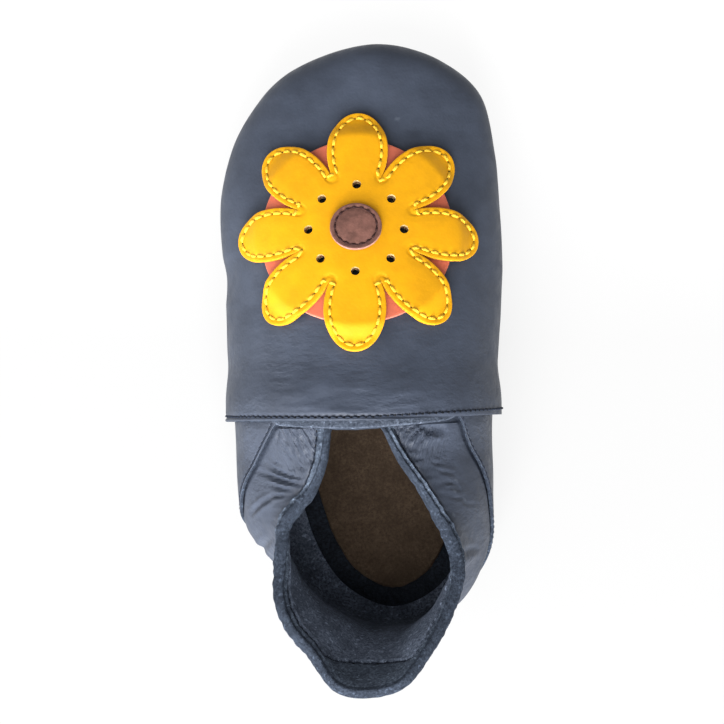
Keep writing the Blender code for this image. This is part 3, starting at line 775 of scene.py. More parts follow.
def measured(control, end):
    """Shares of a cubic up to an end, and the distance run at each of them."""
    share = np.linspace(0, end, 200)
    return share, length_along(bezier(control, share))


def low_rows(foot):
    """Points of a rib from its allowance below the sole's seam to just below the widest line."""
    seam, _, out = rib_start(foot)
    allowance = [seam - out * SEAM_ALLOWANCE * share for share in (1.0, 0.5)]
    return np.array([*allowance, *bezier(foot_curve(foot), np.linspace(0, 1, FOOT_ROWS + 1)[:-1])])


def casing_width(foot):
    """The distance of the casing's seam from the collar's edge, less at the front of the medial side."""
    return CASING_SEAM - MEDIAL_NARROWING * smooth_step(-foot / NARROWING_END)


def tab_seam(points, back):
    """How far below the edge the tab's seam crosses a collar rib, or 0 in front of the tab."""
    line = TAB_SEAM_Y + TAB_SEAM_BOW * ((points[:, 0] - TAB_SEAM_X) / TAB_SEAM_HALF) ** 2
    ahead = points[:, 1] - line
    if ahead[-1] >= 0:
        return 0.0
    return float(np.interp(0.0, ahead[::-1][:60], back[::-1][:60]))


def collar_columns(foot, curve, corner, place=0.0, fade=1.0):
    """A rib of the upper: rows to the widest line, rows spaced from the collar's edge, rows to the instep.

    Marks: distance below the collar's edge, place along it, distance of the casing's seam, place along
    the sole's seam, height share from the sole's seam, and 1 where the rib belongs to the collar.
    """
    low = low_rows(foot)
    share, run = measured(curve, corner)
    near = edge_rows(LIP_RADIUS, EDGE_STEP, EDGE_ZONE)
    far = np.linspace(near[-1], run[-1], SIDE_ROWS + 1)[1:]
    back = np.concatenate([near, far])[::-1]
    at = np.interp(run[-1] - back, run, share)
    side = bezier(curve, at)
    over = np.linspace(corner, 1, TOP_ROWS + 1)[1:] if corner < 1 else []
    top = bezier(curve, over) if corner < 1 else np.zeros((0, 3))
    points = np.concatenate([low, side, top])
    edge = np.concatenate([np.full(len(low), run[-1]), back, np.zeros(len(top))])
    seam = max(casing_width(foot), tab_seam(side, back) if fade else 0.0)
    climb = np.concatenate([np.linspace(0, 1, len(low)), np.ones(len(side) + len(top))])
    ones = np.ones(len(points))
    marks = np.stack([edge, ones * place, ones * seam, ones * foot * OUT.perimeter, climb, ones * fade], -1)
    return points, marks


def upper_net():
    """The upper's whole surface: the toe box to the instep line, the quarters and heel to the collar."""
    net = Net()
    feet = quarter_feet(COLLAR_STEP)
    collar = np.array([quarter_rib(foot)[3] for foot in feet])
    place = length_along(collar)
    stations = np.concatenate([
        THROAT_Y + np.array([0, 0.2, 0.5, 0.9, 1.4, 2.0, 2.8]) * MM,
        np.linspace(THROAT_Y + 3.8 * MM, POLE_Y, round((POLE_Y - THROAT_Y) / FRONT_STEP)),
    ])

    def plain(foot, curve, corner):
        return collar_columns(foot, curve, corner, fade=0.0)

    front = forefoot_rows(net, stations, FAN_RIBS // 3, plain)
    net.weave(front)
    columns = len(front[0]) - TOP_ROWS
    back = [front[0][:columns]]
    for foot, along in zip(feet[1:-1], place[1:-1]):
        back.append(net.add(*collar_columns(foot, quarter_rib(foot), 1.0, along)))
    net.weave([*back, front[-1][:columns]][::-1])
    for number in [*front[0][:columns], *front[-1][:columns]]:
        mark = list(net.marks[number])
        mark[1], mark[5] = (0.0 if number in front[0] else place[-1]), 0.5
        net.marks[number] = mark
    return net.done(), place[-1]


def ankle_fit(points):
    """Where the ankle leather is free behind the side panels' seams, and how far it swells out there."""
    free, swell = np.ones(len(points)), np.zeros(len(points))
    for side, sign in (("lateral", -1), ("medial", 1)):
        at, back = panel_plane(side)
        past = (points - at) @ back
        here = points[:, 0] * sign > 0
        bulge = smooth_step(past / (0.9 * MM)) * np.exp(-np.clip(past, 0, None) / SWELL_RUN)
        free = np.where(here, smooth_step(past / (1.2 * MM)), free)
        swell = np.where(here, SWELL * bulge, swell)
    return free, swell


def make_upper(navy, suede, raw, casing):
    """The hollow upper with its elastic casing, gathers and creases; suede inside."""
    (points, marks, faces), end = upper_net()
    edge, place, seam, foot, climb, collar = marks.T
    normal = normals(points, faces)
    below = edge - seam
    lifted = collar > 0.4
    free = (collar > 0.6) * smooth_step(np.minimum(place, end - place) / (1.5 * MM))
    cut = (1 - rounded(edge, LIP_RADIUS)) * free
    band = np.minimum(seam, casing_width(foot / OUT.perimeter))
    past_casing = seam - CASING_SEAM
    puff = CASING_PUFF * (CASING_SEAM / seam) * np.sin(np.pi * np.clip(edge / seam, 0, 1) ** 0.9) * free
    fold_line = bell(edge - RAW_SHARE * band, GROOVE_WIDTH) * (1 - smooth_step(past_casing / (2 * MM)))
    groove = (CASING_GROOVE * bell(below, 1.2 * GROOVE_WIDTH) + CASING_FOLD * fold_line) * free
    ridge = SEAM_RIDGE * bell(below + 2.2 * GROOVE_WIDTH, 0.9 * GROOVE_WIDTH) * free
    roll = SEAM_RIDGE * bell(below - 2.2 * GROOVE_WIDTH, GROOVE_WIDTH) * free
    tight = np.where(below < 0, 0.75, np.exp(-np.clip(below, 0, None) / (0.6 * GATHER_RUN)))
    tab = 1 - 0.7 * smooth_step(past_casing / (3 * MM))
    gather = ridged(np.stack([place, edge], -1), GATHER_PITCH, 4.0) * GATHER_DEPTH * tight * tab * free
    soft = undulation(points, 8 * MM, 3.0) * 0.30 * MM * free * smooth_step(edge / CASING_DEPTH)
    behind, swell = ankle_fit(points)
    swell = swell * smooth_step(below / (2 * MM)) * lifted * smooth_step(climb / 0.9)
    throat = THROAT_Y + THROAT_SKEW * np.clip(2 * points[:, 0] / BALL_WIDTH, 0, 1)
    clear = smooth_step((throat + 0.5 * MM - points[:, 1]) / (0.9 * MM))
    fold = creases(points, QUARTER_CREASES) * smooth_step(below / (0.8 * MM)) * (climb > 0.99)
    wave = (gather + soft + fold) * behind * clear + puckers(foot, climb, 0.12) * lifted * behind + swell
    thick = WALL + (CASING_THICKNESS - WALL) * (1 - smooth_step((edge - 0.5 * CASING_DEPTH) / CASING_DEPTH))
    outer = wave + puff - groove - LIP_RADIUS * cut + ridge
    inner = wave * 0.8 - puff * 0.8 - roll + groove - thick + cut * (thick - LIP_RADIUS)
    on_collar = at_faces(collar, faces) > 0.6
    under = at_faces(below, faces)
    lip_look = np.where(at_faces(edge - RAW_SHARE * band, faces) < 0, 2, 3)
    outer_look = np.where(on_collar & (at_faces(edge - band, faces) < 0), lip_look, 0)
    inner_look = np.where(on_collar & (under < 0), lip_look, 1)
    tab_line = (at_faces(seam, faces) > CASING_SEAM + 0.6 * MM) & (abs(under) < 0.2 * MM)
    looks = (outer_look, np.where(tab_line, 2, inner_look), 2)
    sheet = sheets(points, normal, outer, inner)
    obj = leather_piece("upper_leather", sheet, faces, (navy, suede, raw, casing), looks)
    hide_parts("upper")
    return obj, collar_seams(*sheet, normal, marks)


def collar_seams(outer, inner, normal, marks):
    """The paths of the casing's stitches outside and inside the collar, with the surface's directions."""
    edge, place, seam, _, _, collar = marks.T
    paths = []
    for sheet, sign in ((outer, 1), (inner, -1)):
        line = []
        for at in np.unique(place[collar > 0.6]):
            rib = np.nonzero((place == at) & (collar > 0.6))[0]
            rib = rib[np.argsort(edge[rib])]
            wanted = seam[rib[0]]
            line.append([np.interp(wanted, edge[rib], sheet[rib, k]) for k in range(3)]
                        + [np.interp(wanted, edge[rib], sign * normal[rib, k]) for k in range(3)])
        paths.append(np.array(line))
    return paths


def vamp_columns(foot, curve, _):
    """A rib of the vamp, evenly spaced, closer to its lower edge.

    Marks: distance from the lower edge, place along the sole's seam, height share from the sole's seam.
    """
    low = bezier(foot_curve(foot), np.linspace(FIRST_SHARE, 1, 3 * FOOT_ROWS)[:-1])
    share, run = measured(curve, 1.0)
    at = np.interp(np.linspace(0, run[-1], SIDE_ROWS + 12), run, share)
    points = np.concatenate([low, bezier(curve, at)])
    climb = np.concatenate([np.linspace(0, 1, len(low)), np.ones(len(at))])
    edge = length_along(points)
    return points, np.stack([edge, np.full(len(points), foot * OUT.perimeter), climb], -1)


def make_vamp(navy, raw):
    """The front leather with its straight stitched rear edge, and the plain surface for appliques."""
    net = Net()
    rear = THROAT_Y + UNDERLAY_SHOWING
    near = rear + edge_rows(VAMP_THICKNESS / 2, 0.22 * MM, 3.0 * MM)
    far = np.linspace(near[-1], POLE_Y, round((POLE_Y - near[-1]) / VAMP_STEP) + 1)[1:]
    net.weave(forefoot_rows(net, np.concatenate([near, far]), FAN_RIBS, vamp_columns))
    points, marks, faces = net.done()
    edge, foot, climb = marks.T
    normal = normals(points, faces)
    behind = points[:, 1] - rear
    lift = vamp_lift(points[:, 1])
    plain = points + normal * (lift + VAMP_THICKNESS)[:, None]
    turn = np.minimum(rounded(behind, VAMP_THICKNESS / 2), rounded(edge, VAMP_THICKNESS / 2))
    groove = 1.6 * STITCH_GROOVE * bell(behind - VAMP_SEAM, 1.3 * GROOVE_WIDTH)
    soft = undulation(points, 12 * MM, 1.0) * 0.38 * MM + undulation(points, 5 * MM, 2.0) * 0.08 * MM
    ripple = ridged(points[:, [0, 1]], 3.2 * MM, 2.5, 7.0) * 0.10 * MM * np.exp(-behind / (4 * MM))
    fold = creases(points, VAMP_CREASES) * smooth_step((behind - 1.5 * MM) / (1.5 * MM))
    near_widest = 0.5 * WIDEST_HEIGHT - abs(points[:, 2] - WIDEST_HEIGHT)
    flare = CORNER_FLARE * np.exp(-behind / (1.3 * MM)) * smooth_step(near_widest / (4 * MM))
    wave = (soft + ripple * smooth_step(behind / (1 * MM))) * smooth_step(edge / (3 * MM))
    wave = wave + puckers(foot, climb, 0.15) + fold
    half = VAMP_THICKNESS / 2
    outer = lift + half + half * turn + wave - groove + flare
    inner = lift + half - half * turn + wave * 0.3 + flare
    raw_edge = at_faces(np.minimum(behind, edge), faces) < 0.25 * MM
    sheet = sheets(points, normal, outer, inner)
    obj = leather_piece("vamp_leather", sheet, faces, (navy, raw), (raw_edge, 1, 1))
    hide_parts("vamp")
    return obj, (plain, faces)


def underlay_net():
    """The strip that shows behind the vamp, across the throat, with its ends running under the vamp."""
    net = Net()
    front = THROAT_Y + UNDERLAY_SHOWING + 0.9 * MM
    steps = edge_rows(UNDERLAY_THICKNESS / 2, 0.25 * MM, 2.8 * MM)
    rows = []
    shares = np.linspace(1, 0, UNDERLAY_STEPS)
    halves = (("lateral", UNDERLAY_LATERAL, shares), ("medial", UNDERLAY_MEDIAL, shares[-2::-1]))
    for side, reach, half in halves:
        for across in half:
            taper = 0.5 * across**2 + 0.5 * smooth_step((across - 0.80) / 0.20)
            rear = THROAT_Y - 0.05 * MM + taper * (UNDERLAY_SHOWING + 0.5 * MM)
            row = []
            for step in steps / steps[-1]:
                y = rear + step * (front - rear)
                _, curve, _ = forefoot_rib(side, y)
                share, run = measured(curve, 1.0)
                at = np.interp(run[-1] - across * reach, run, share)
                row.append(bezier(curve, [at])[0])
            distance = length_along(np.array(row))
            rows.append(net.add(row, [(d, across) for d in distance]))
    net.weave(rows)
    return net.done()


def make_underlay(raw):
    """The suede strip behind the vamp."""
    points, marks, faces = underlay_net()
    edge, across = marks.T
    normal = normals(points, faces)
    ends = (1 - across) * 18 * MM
    turn = np.minimum(rounded(edge, UNDERLAY_THICKNESS / 2), rounded(ends, UNDERLAY_THICKNESS / 2))
    half = UNDERLAY_THICKNESS / 2
    ripple = undulation(points, 1.6 * MM, 9.0) * 0.08 * MM + undulation(points, 5 * MM, 4.0) * 0.12 * MM
    ripple = ripple * (0.3 + 0.7 * (points[:, 1] < THROAT_Y + UNDERLAY_SHOWING))
    outer = GAP + half + half * turn + ripple
    inner = GAP + half - half * turn + ripple * 0.2
    obj = leather_piece("throat_underlay", sheets(points, normal, outer, inner), faces, (raw,))
    return obj


def panel_net(side):
    """One side panel between its seam and a line under the vamp, in rows that start at the seam."""
    net = Net()
    point, back = panel_plane(side)
    front = THROAT_Y + UNDERLAY_SHOWING + PANEL_LAP
    ribs = [forefoot_rib(side, y) for y in np.linspace(front, THROAT_Y, 14)[:-1]]
    feet = np.array(quarter_feet(COLLAR_STEP * 0.6))
    feet = feet[feet > PANEL_LIMIT] if side == "lateral" else feet[feet < -PANEL_LIMIT][::-1]
    ribs += [(foot, quarter_rib(foot), 1.0) for foot in feet]
    table = []
    for foot, curve, corner in ribs:
        low = bezier(foot_curve(foot), np.linspace(FIRST_SHARE, 1, 2 * FOOT_ROWS)[:-1])
        share, run = measured(curve, corner)
        at = np.interp(np.linspace(0, run[-1], PANEL_ROWS), run, share)
        table.append(np.concatenate([low, bezier(curve, at)]))
    table = np.array(table)
    near = edge_rows(0.3 * PANEL_THICKNESS, 0.2 * MM, 2.6 * MM)
    rows = []
    for j in range(table.shape[1]):
        line = table[:, j]
        past = (line - point) @ back
        if past[0] > 0:
            break
        last = int(np.argmax(past > 0))
        t = past[last - 1] / (past[last - 1] - past[last])
        line = np.concatenate([line[:last], [line[last - 1] + t * (line[last] - line[last - 1])]])[::-1]
        run = length_along(line)
        even = np.linspace(near[-1], max(run[-1], near[-1]), 18)[1:]
        wanted = np.concatenate([near, even]) * min(1.0, run[-1] / near[-1])
        wanted[-1] = run[-1]
        row = np.stack([np.interp(wanted, run, line[:, k]) for k in range(3)], -1)
        low = j / (2.0 * FOOT_ROWS) * 4 * MM
        rows.append(net.add(row, [(d, low) for d in wanted]))
    net.weave(rows)
    return net.done()


def make_side_panel(side, navy, raw):
    """One side panel, and the path of the stitches along its seam."""
    points, marks, faces = panel_net(side)
    edge, low = marks.T
    normal = normals(points, faces)
    half = PANEL_THICKNESS / 2
    turn = np.minimum(rounded(edge, 0.6 * half), rounded(low, half))
    groove = STITCH_GROOVE * bell(edge - PANEL_SEAM, GROOVE_WIDTH)
    soft = undulation(points, 9 * MM, 6.0) * 0.12 * MM * smooth_step(edge / (3 * MM))
    hidden = 1 - smooth_step((points[:, 1] - THROAT_Y - UNDERLAY_SHOWING + 1 * MM) / (1 * MM))
    outer = GAP + half + PANEL_SHOWING * turn + (soft - groove) * hidden
    inner = GAP + half - half * turn
    looks = (at_faces(edge, faces) < 0.12 * MM, 1, 1)
    name = "side_panel_" + side
    obj = leather_piece(name + "_leather", sheets(points, normal, outer, inner), faces, (navy, raw), looks)
    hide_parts(name)
    seam = np.nonzero(abs(edge - PANEL_SEAM) < 0.11 * MM)[0]
    seam = seam[np.argsort(points[seam, 2])]
    height = GAP + PANEL_THICKNESS / 2 + PANEL_SHOWING - STITCH_GROOVE / 2
    return obj, np.concatenate([points[seam] + normal[seam] * height, normal[seam]], axis=1)


def pad_net(rings, steps):
    """A sheet of closed rings round a middle; a ring is (inset, height, share of the outline's size)."""
    net = Net()
    at = np.arange(steps) / steps
    outline, out = OUT.point(at), OUT.normal(at)
    rows = []
    for inset, z, share in rings:
        flat = (outline + out * inset) * share
        points = np.column_stack([flat, z + rise(flat[:, 0], flat[:, 1])])
        row = net.add(points, np.column_stack([at * OUT.perimeter, np.full(steps, share)]))
        rows.append([*row, row[0]])
    middle = net.add([(0.0, 0.0, rings[0][1] + rise(0.0, 0.0))], [(0.0, 0.0)])
    net.weave([middle * (steps + 1), *rows])
    edge = np.zeros(len(net.points))
    for inner, outer in zip(rows[-2::-1], rows[:0:-1]):
        step = np.linalg.norm(np.array(net.points)[outer] - np.array(net.points)[inner], axis=1)
        edge[inner] = edge[outer] + step
    edge[middle[0]] = 1.0
    return net.done(), edge


def make_sole(outside, inside):
    """The suede sole, turned up at its edge; its inner face takes a darker copy of the suede, painted shade
    for the inside of the shoe.
    """
    rim = SEAM_HEIGHT - GAP
    roll = [(-SOLE_ROLL, 0), (-0.35 * SOLE_ROLL, 0), (0, 0.15 * rim), (0, 0.55 * rim)]
    flat = [(-SOLE_ROLL, 0.0, share) for share in np.linspace(0.08, 0.96, 16)]
    turn = [(inset, z, 1.0) for inset, z in bezier(roll, np.linspace(0, 1, 14))]
    top = [(0.0, z, 1.0) for z in rim - edge_rows(SOLE_THICKNESS / 2, 0.3 * MM, 0.45 * rim)[::-1]]
    (points, _, faces), edge = pad_net([*flat, *turn, *top], SOLE_STEPS)
    normal = normals(points, faces)
    half = SOLE_THICKNESS / 2
    turn = rounded(edge, half)
    nap = undulation(points, 2.5 * MM, 8.0) * 0.05 * MM
    outer = -half * (1 - turn)
    inner = -half - half * turn + nap
    sheet = sheets(points, normal, outer, inner)
    # The inner face takes the darker suede: painted shade inside the shoe.
    obj = leather_piece("sole_suede_leather", sheet, faces, (outside, inside), (0, 1, 0))
    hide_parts("sole")
    return obj


def make_insole(tan):
    """The insole pad with a slightly frayed edge, in a tan that is partly painted shade for the inside of the
    shoe.
    """
    base = SOLE_THICKNESS + GAP
    shares = [*np.linspace(0.05, 0.95, 26), *np.linspace(0.96, 1.0, 8)]
    (points, _, faces), edge = pad_net([(-INSOLE_INSET, base, share) for share in shares], SOLE_STEPS)
    normal = normals(points, faces)
    half = INSOLE_THICKNESS / 2
    turn = rounded(edge, half)
    nap = undulation(points, 11 * MM, 2.0) * 0.10 * MM + undulation(points, 1.4 * MM, 5.0) * 0.04 * MM
    outer = -half * (1 - turn)
    inner = -half - half * turn - nap * smooth_step(edge / (2 * MM))
    fray = undulation(points, 1.1 * MM, 11.0) * 0.22 * MM * (1 - smooth_step(edge / (1.2 * MM)))
    sheet = sheets(points, normal, outer, inner)
    away = points[:, :2] / np.linalg.norm(points[:, :2] + 1e-9, axis=1)[:, None]
    for layer in sheet:
        layer[:, :2] += fray[:, None] * away
    obj = leather_piece("insole_pad", sheet, faces, (tan,))
    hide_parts("insole")
    return obj


class Ground:
    """The vamp's outer surface, walked from the flower's centre."""

    def __init__(self, points, faces):
        self.tree = BVHTree.FromPolygons(points.tolist(), [list(dict.fromkeys(f)) for f in faces.tolist()])
        above = Vector((*FLOWER_CENTRE, 2 * TAB_HEIGHT))
        self.centre, self.normal, _, _ = self.tree.ray_cast(above, Vector((0, 0, -1)))

    def along(self, angle, distances):
        """The surface's points and directions at rising distances from the centre, walked one way."""
        point, normal = self.centre, self.normal
        heading = Vector((np.cos(angle), np.sin(angle), 0))
        walked, found = 0.0, []
        for distance in distances:
            steps = int(np.ceil((distance - walked) / WALK_STEP))
            for _ in range(steps):
                heading = (heading - normal * heading.dot(normal)).normalized()
                ahead = point + heading * (distance - walked) / steps
                point, normal, _, _ = self.tree.find_nearest(ahead)
            walked = distance
            found.append((point, normal))
        return found


def level(value):
    """A function that has one value everywhere."""
    return lambda at: np.full_like(at, value)


def petal_reach(angle):
    """The flower's edge: rounded petals that meet in notches."""
    wave = abs(np.cos(angle * PETALS / 2))
    return FLOWER_NOTCH + (FLOWER_RADIUS - FLOWER_NOTCH) * wave**PETAL_ROUNDNESS


def flower_lift(distance):
    """The flower lies on the disc and steps down to the vamp past the disc's edge."""
    over = 1 - smooth_step((distance - DISC_RADIUS - GAP) / FLOWER_STEP)
    return GAP + (DISC_THICKNESS + GAP) * over


def flat_outline(reach, count):
    """A piece's outline before it is laid on the vamp, evenly spaced along the edge."""
    angle = np.linspace(0, 2 * np.pi, 40 * count + 1)
    line = np.stack([np.cos(angle), np.sin(angle)], -1) * reach(angle)[:, None]
    run = length_along(line)
    wanted = np.linspace(0, run[-1], count + 1)[:-1]
    return np.stack([np.interp(wanted, run, line[:, k]) for k in range(2)], -1)


def inset_line(outline, inset):
    """The line inside a closed outline at an even distance from it."""
    ahead = np.roll(outline, -1, axis=0) - np.roll(outline, 1, axis=0)
    line = outline + unit(np.stack([-ahead[:, 1], ahead[:, 0]], -1)) * inset
    away = np.array([np.min(np.hypot(*(outline - p).T)) for p in line])
    line = line[away > 0.985 * inset]
    return np.concatenate([line, line[:1]])


def make_applique(name, ground, reach, count, lift, thickness, seam, materials):
    """A leather piece sewn on the vamp: rounded edge, groove along its seam, slightly raised middle."""
    outline = flat_outline(reach, count)
    tree = KDTree(4 * count)
    for i, p in enumerate(flat_outline(reach, 4 * count)):
        tree.insert((*p, 0.0), i)
    tree.balance()
    net = Net()
    hub = net.add([ground.centre], [(1.0, 0.0)])
    rows = []
    directions = [ground.normal]
    rim = 1 - np.cos(np.linspace(np.pi / 2, 0, RIM_ROWS))
    inner = np.arange(1, int(FLOWER_RADIUS / SPOKE_STEP)) * SPOKE_STEP
    for p in outline:
        far = np.hypot(*p)
        angle = np.arctan2(p[1], p[0])
        last = far - 0.5 * SPOKE_STEP - CUT_RADIUS
        distances = np.concatenate([inner[inner < last], far - CUT_RADIUS * rim])
        walked = ground.along(angle, distances)
        way = p / far
        marks = [(tree.find((*(way * d), 0.0))[2], d) for d in distances]
        marks[-1] = (0.0, far)
        directions += [n for _, n in walked]
        row = net.add([q for q, _ in walked], marks)
        missing = len(inner) + RIM_ROWS - len(row)
        rows.append(hub + row[:-RIM_ROWS] + [row[-RIM_ROWS - 1]] * missing + row[-RIM_ROWS:])
    net.weave([*rows, rows[0]])
    points, marks, faces = net.done()
    normal = np.array(directions)
    edge, distance = marks.T
    cut = 1 - rounded(edge, CUT_RADIUS)
    groove = STITCH_GROOVE * bell(edge - seam, GROOVE_WIDTH) if seam else 0.0
    dome = 0.10 * MM * smooth_step((edge - seam) / (2.2 * MM)) if seam else 0.0
    soft = undulation(points, 7 * MM, 5.0) * 0.05 * MM
    outer = lift(distance) + thickness - groove + (dome + soft) * (1 - cut) - CUT_RADIUS * cut
    under = lift(distance) + 0.5 * CUT_RADIUS * cut
    looks = (at_faces(edge, faces) < 0.10 * MM, 1, 1)
    obj = leather_piece(name + "_leather", sheets(points, normal, outer, under), faces, materials, looks)
    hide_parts(name)
    return obj


def punch(objs, ground, edge):
    """Cuts a ring of round holes, one for each petal, through pieces of the applique."""
    bm = bmesh.new()
    for k in range(PETALS):
        point, normal = ground.along(2 * np.pi * k / PETALS, [PUNCH_PLACE])[0]
        turn = normal.to_track_quat("Z", "Y").to_matrix().to_4x4()
        place = Matrix.Translation(point + normal * PUNCH_LENGTH * 0.45) @ turn
        size = {"radius1": PUNCH_RADIUS, "radius2": PUNCH_RADIUS, "depth": PUNCH_LENGTH}
        bmesh.ops.create_cone(bm, segments=28, cap_ends=True, matrix=place, **size)
    mesh = mesh_of("punches", bm)
    mesh.materials.append(edge)
    cutter = placed("punches", mesh)
    for obj in objs:
        cut = obj.modifiers.new("holes", "BOOLEAN")
        cut.operation = "DIFFERENCE"
        cut.object = cutter
        cut.solver = "EXACT"
        cut.material_mode = "TRANSFER"
        bpy.context.view_layer.update()
        result = bpy.data.meshes.new_from_object(obj.evaluated_get(bpy.context.evaluated_depsgraph_get()))
        obj.modifiers.clear()
        obj.data = result
        result.set_sharp_from_angle(angle=SMOOTH_TURN)
    bpy.data.objects.remove(cutter)


def surface_of(obj):
    """The shape of an object, for finding points on it."""
    mesh = obj.data
    points = np.zeros(len(mesh.vertices) * 3)
    mesh.vertices.foreach_get("co", points)
    return BVHTree.FromPolygons(points.reshape(-1, 3).tolist(), [list(f.vertices) for f in mesh.polygons])


def laid_path(ground, tree, line, lift):
    """A flat line of an applique, laid on the piece's real surface, with the surface's directions."""
    found = []
    for p in line:
        q, n = ground.along(np.arctan2(p[1], p[0]), [np.hypot(*p)])[0]
        hit = tree.ray_cast(q + n * (lift + 2 * MM), -n)[0]
        if hit is not None:
            found.append([*hit, *n])
    return np.array(found)


def tube(path, up, radii, sides=7):
    """Points and faces of a closed round cord along a path; up is the direction away from the leather."""
    ahead = unit(np.gradient(path, axis=0))
    side = unit(np.cross(ahead, up))
    over = np.cross(side, ahead)
    turn = np.linspace(0, 2 * np.pi, sides, endpoint=False)
    rings = path[:, None] + radii[:, None, None] * (
        np.cos(turn)[None, :, None] * side[:, None] + np.sin(turn)[None, :, None] * over[:, None]
    )
    points = rings.reshape(-1, 3)
    faces = []
    for i in range(len(path) - 1):
        for k in range(sides):
            j = (k + 1) % sides
            faces.append([i * sides + k, i * sides + j, (i + 1) * sides + j, (i + 1) * sides + k])
    faces.append(list(range(sides))[::-1])
    faces.append([(len(path) - 1) * sides + k for k in range(sides)])
    return points, faces


def joined(name, parts, material):
    """One mesh object from many small closed forms."""
    points, faces, count = [], [], 0
    for p, f in parts:
        points.extend(p)
        faces.extend([[i + count for i in face] for face in f])
        count += len(p)
    return add_mesh(name, points, faces, (material,))


def stitch_forms(path, pitch, radius, cover=STITCH_COVER, prick=1.0):
    """Stitches, and beads in their needle holes, at an even pitch along a path of points and surface
    directions.

    The radius is the thread's. The cover is a stitch's share of the pitch, and the prick a hole's
    width over the thread's.
    """
    run = length_along(path[:, :3])
    count = max(1, round(run[-1] / pitch))
    step = run[-1] / count
    stitches, holes = [], []
    for i in range(count):
        middle = (i + 0.5) * step
        wobble = 0.04 * step * noise.noise(Vector((i * 1.7, radius * 1e4, 0.5)))
        share = np.linspace(-0.5, 0.5, 7)
        at = middle + wobble + share * step * cover
        line = np.stack([np.interp(at, run, path[:, k]) for k in range(6)], -1)
        up = unit(line[:, 3:])
        height = radius * (0.55 - 1.8 * (2 * abs(share)) ** 4)
        radii = radius * (1 - 0.35 * (2 * abs(share)) ** 3)
        stitches.append(tube(line[:, :3] + up * height[:, None], up, radii))
        # Each needle hole is a small bead at the surface; a dark material on it paints the shade in the hole.
        hole = np.array([np.interp(i * step, run, path[:, k]) for k in range(6)])
        heights = np.array([-0.8, -0.2, 0.25, 0.35]) * radius
        widths = np.array([0.5, 1.05, 0.9, 0.3]) * radius * prick
        line = hole[:3] + heights[:, None] * unit(hole[3:])
        holes.append(tube(line, np.tile([1.0, 0.3, 0.2], (4, 1)), widths))
    return stitches, holes


def rgb(red, green, blue):
    """The linear values that shaders take for a colour of 0 to 255 a channel."""
    c = np.array([red, green, blue]) / 255
    linear = np.where(c <= 0.04045, c / 12.92, ((c + 0.055) / 1.055) ** 2.4)
    return (*(float(v) for v in linear), 1.0)


def shade(colour, factor):
    """A colour made darker or lighter by a factor."""
    return (*(min(1.0, c * factor) for c in colour[:3]), 1.0)


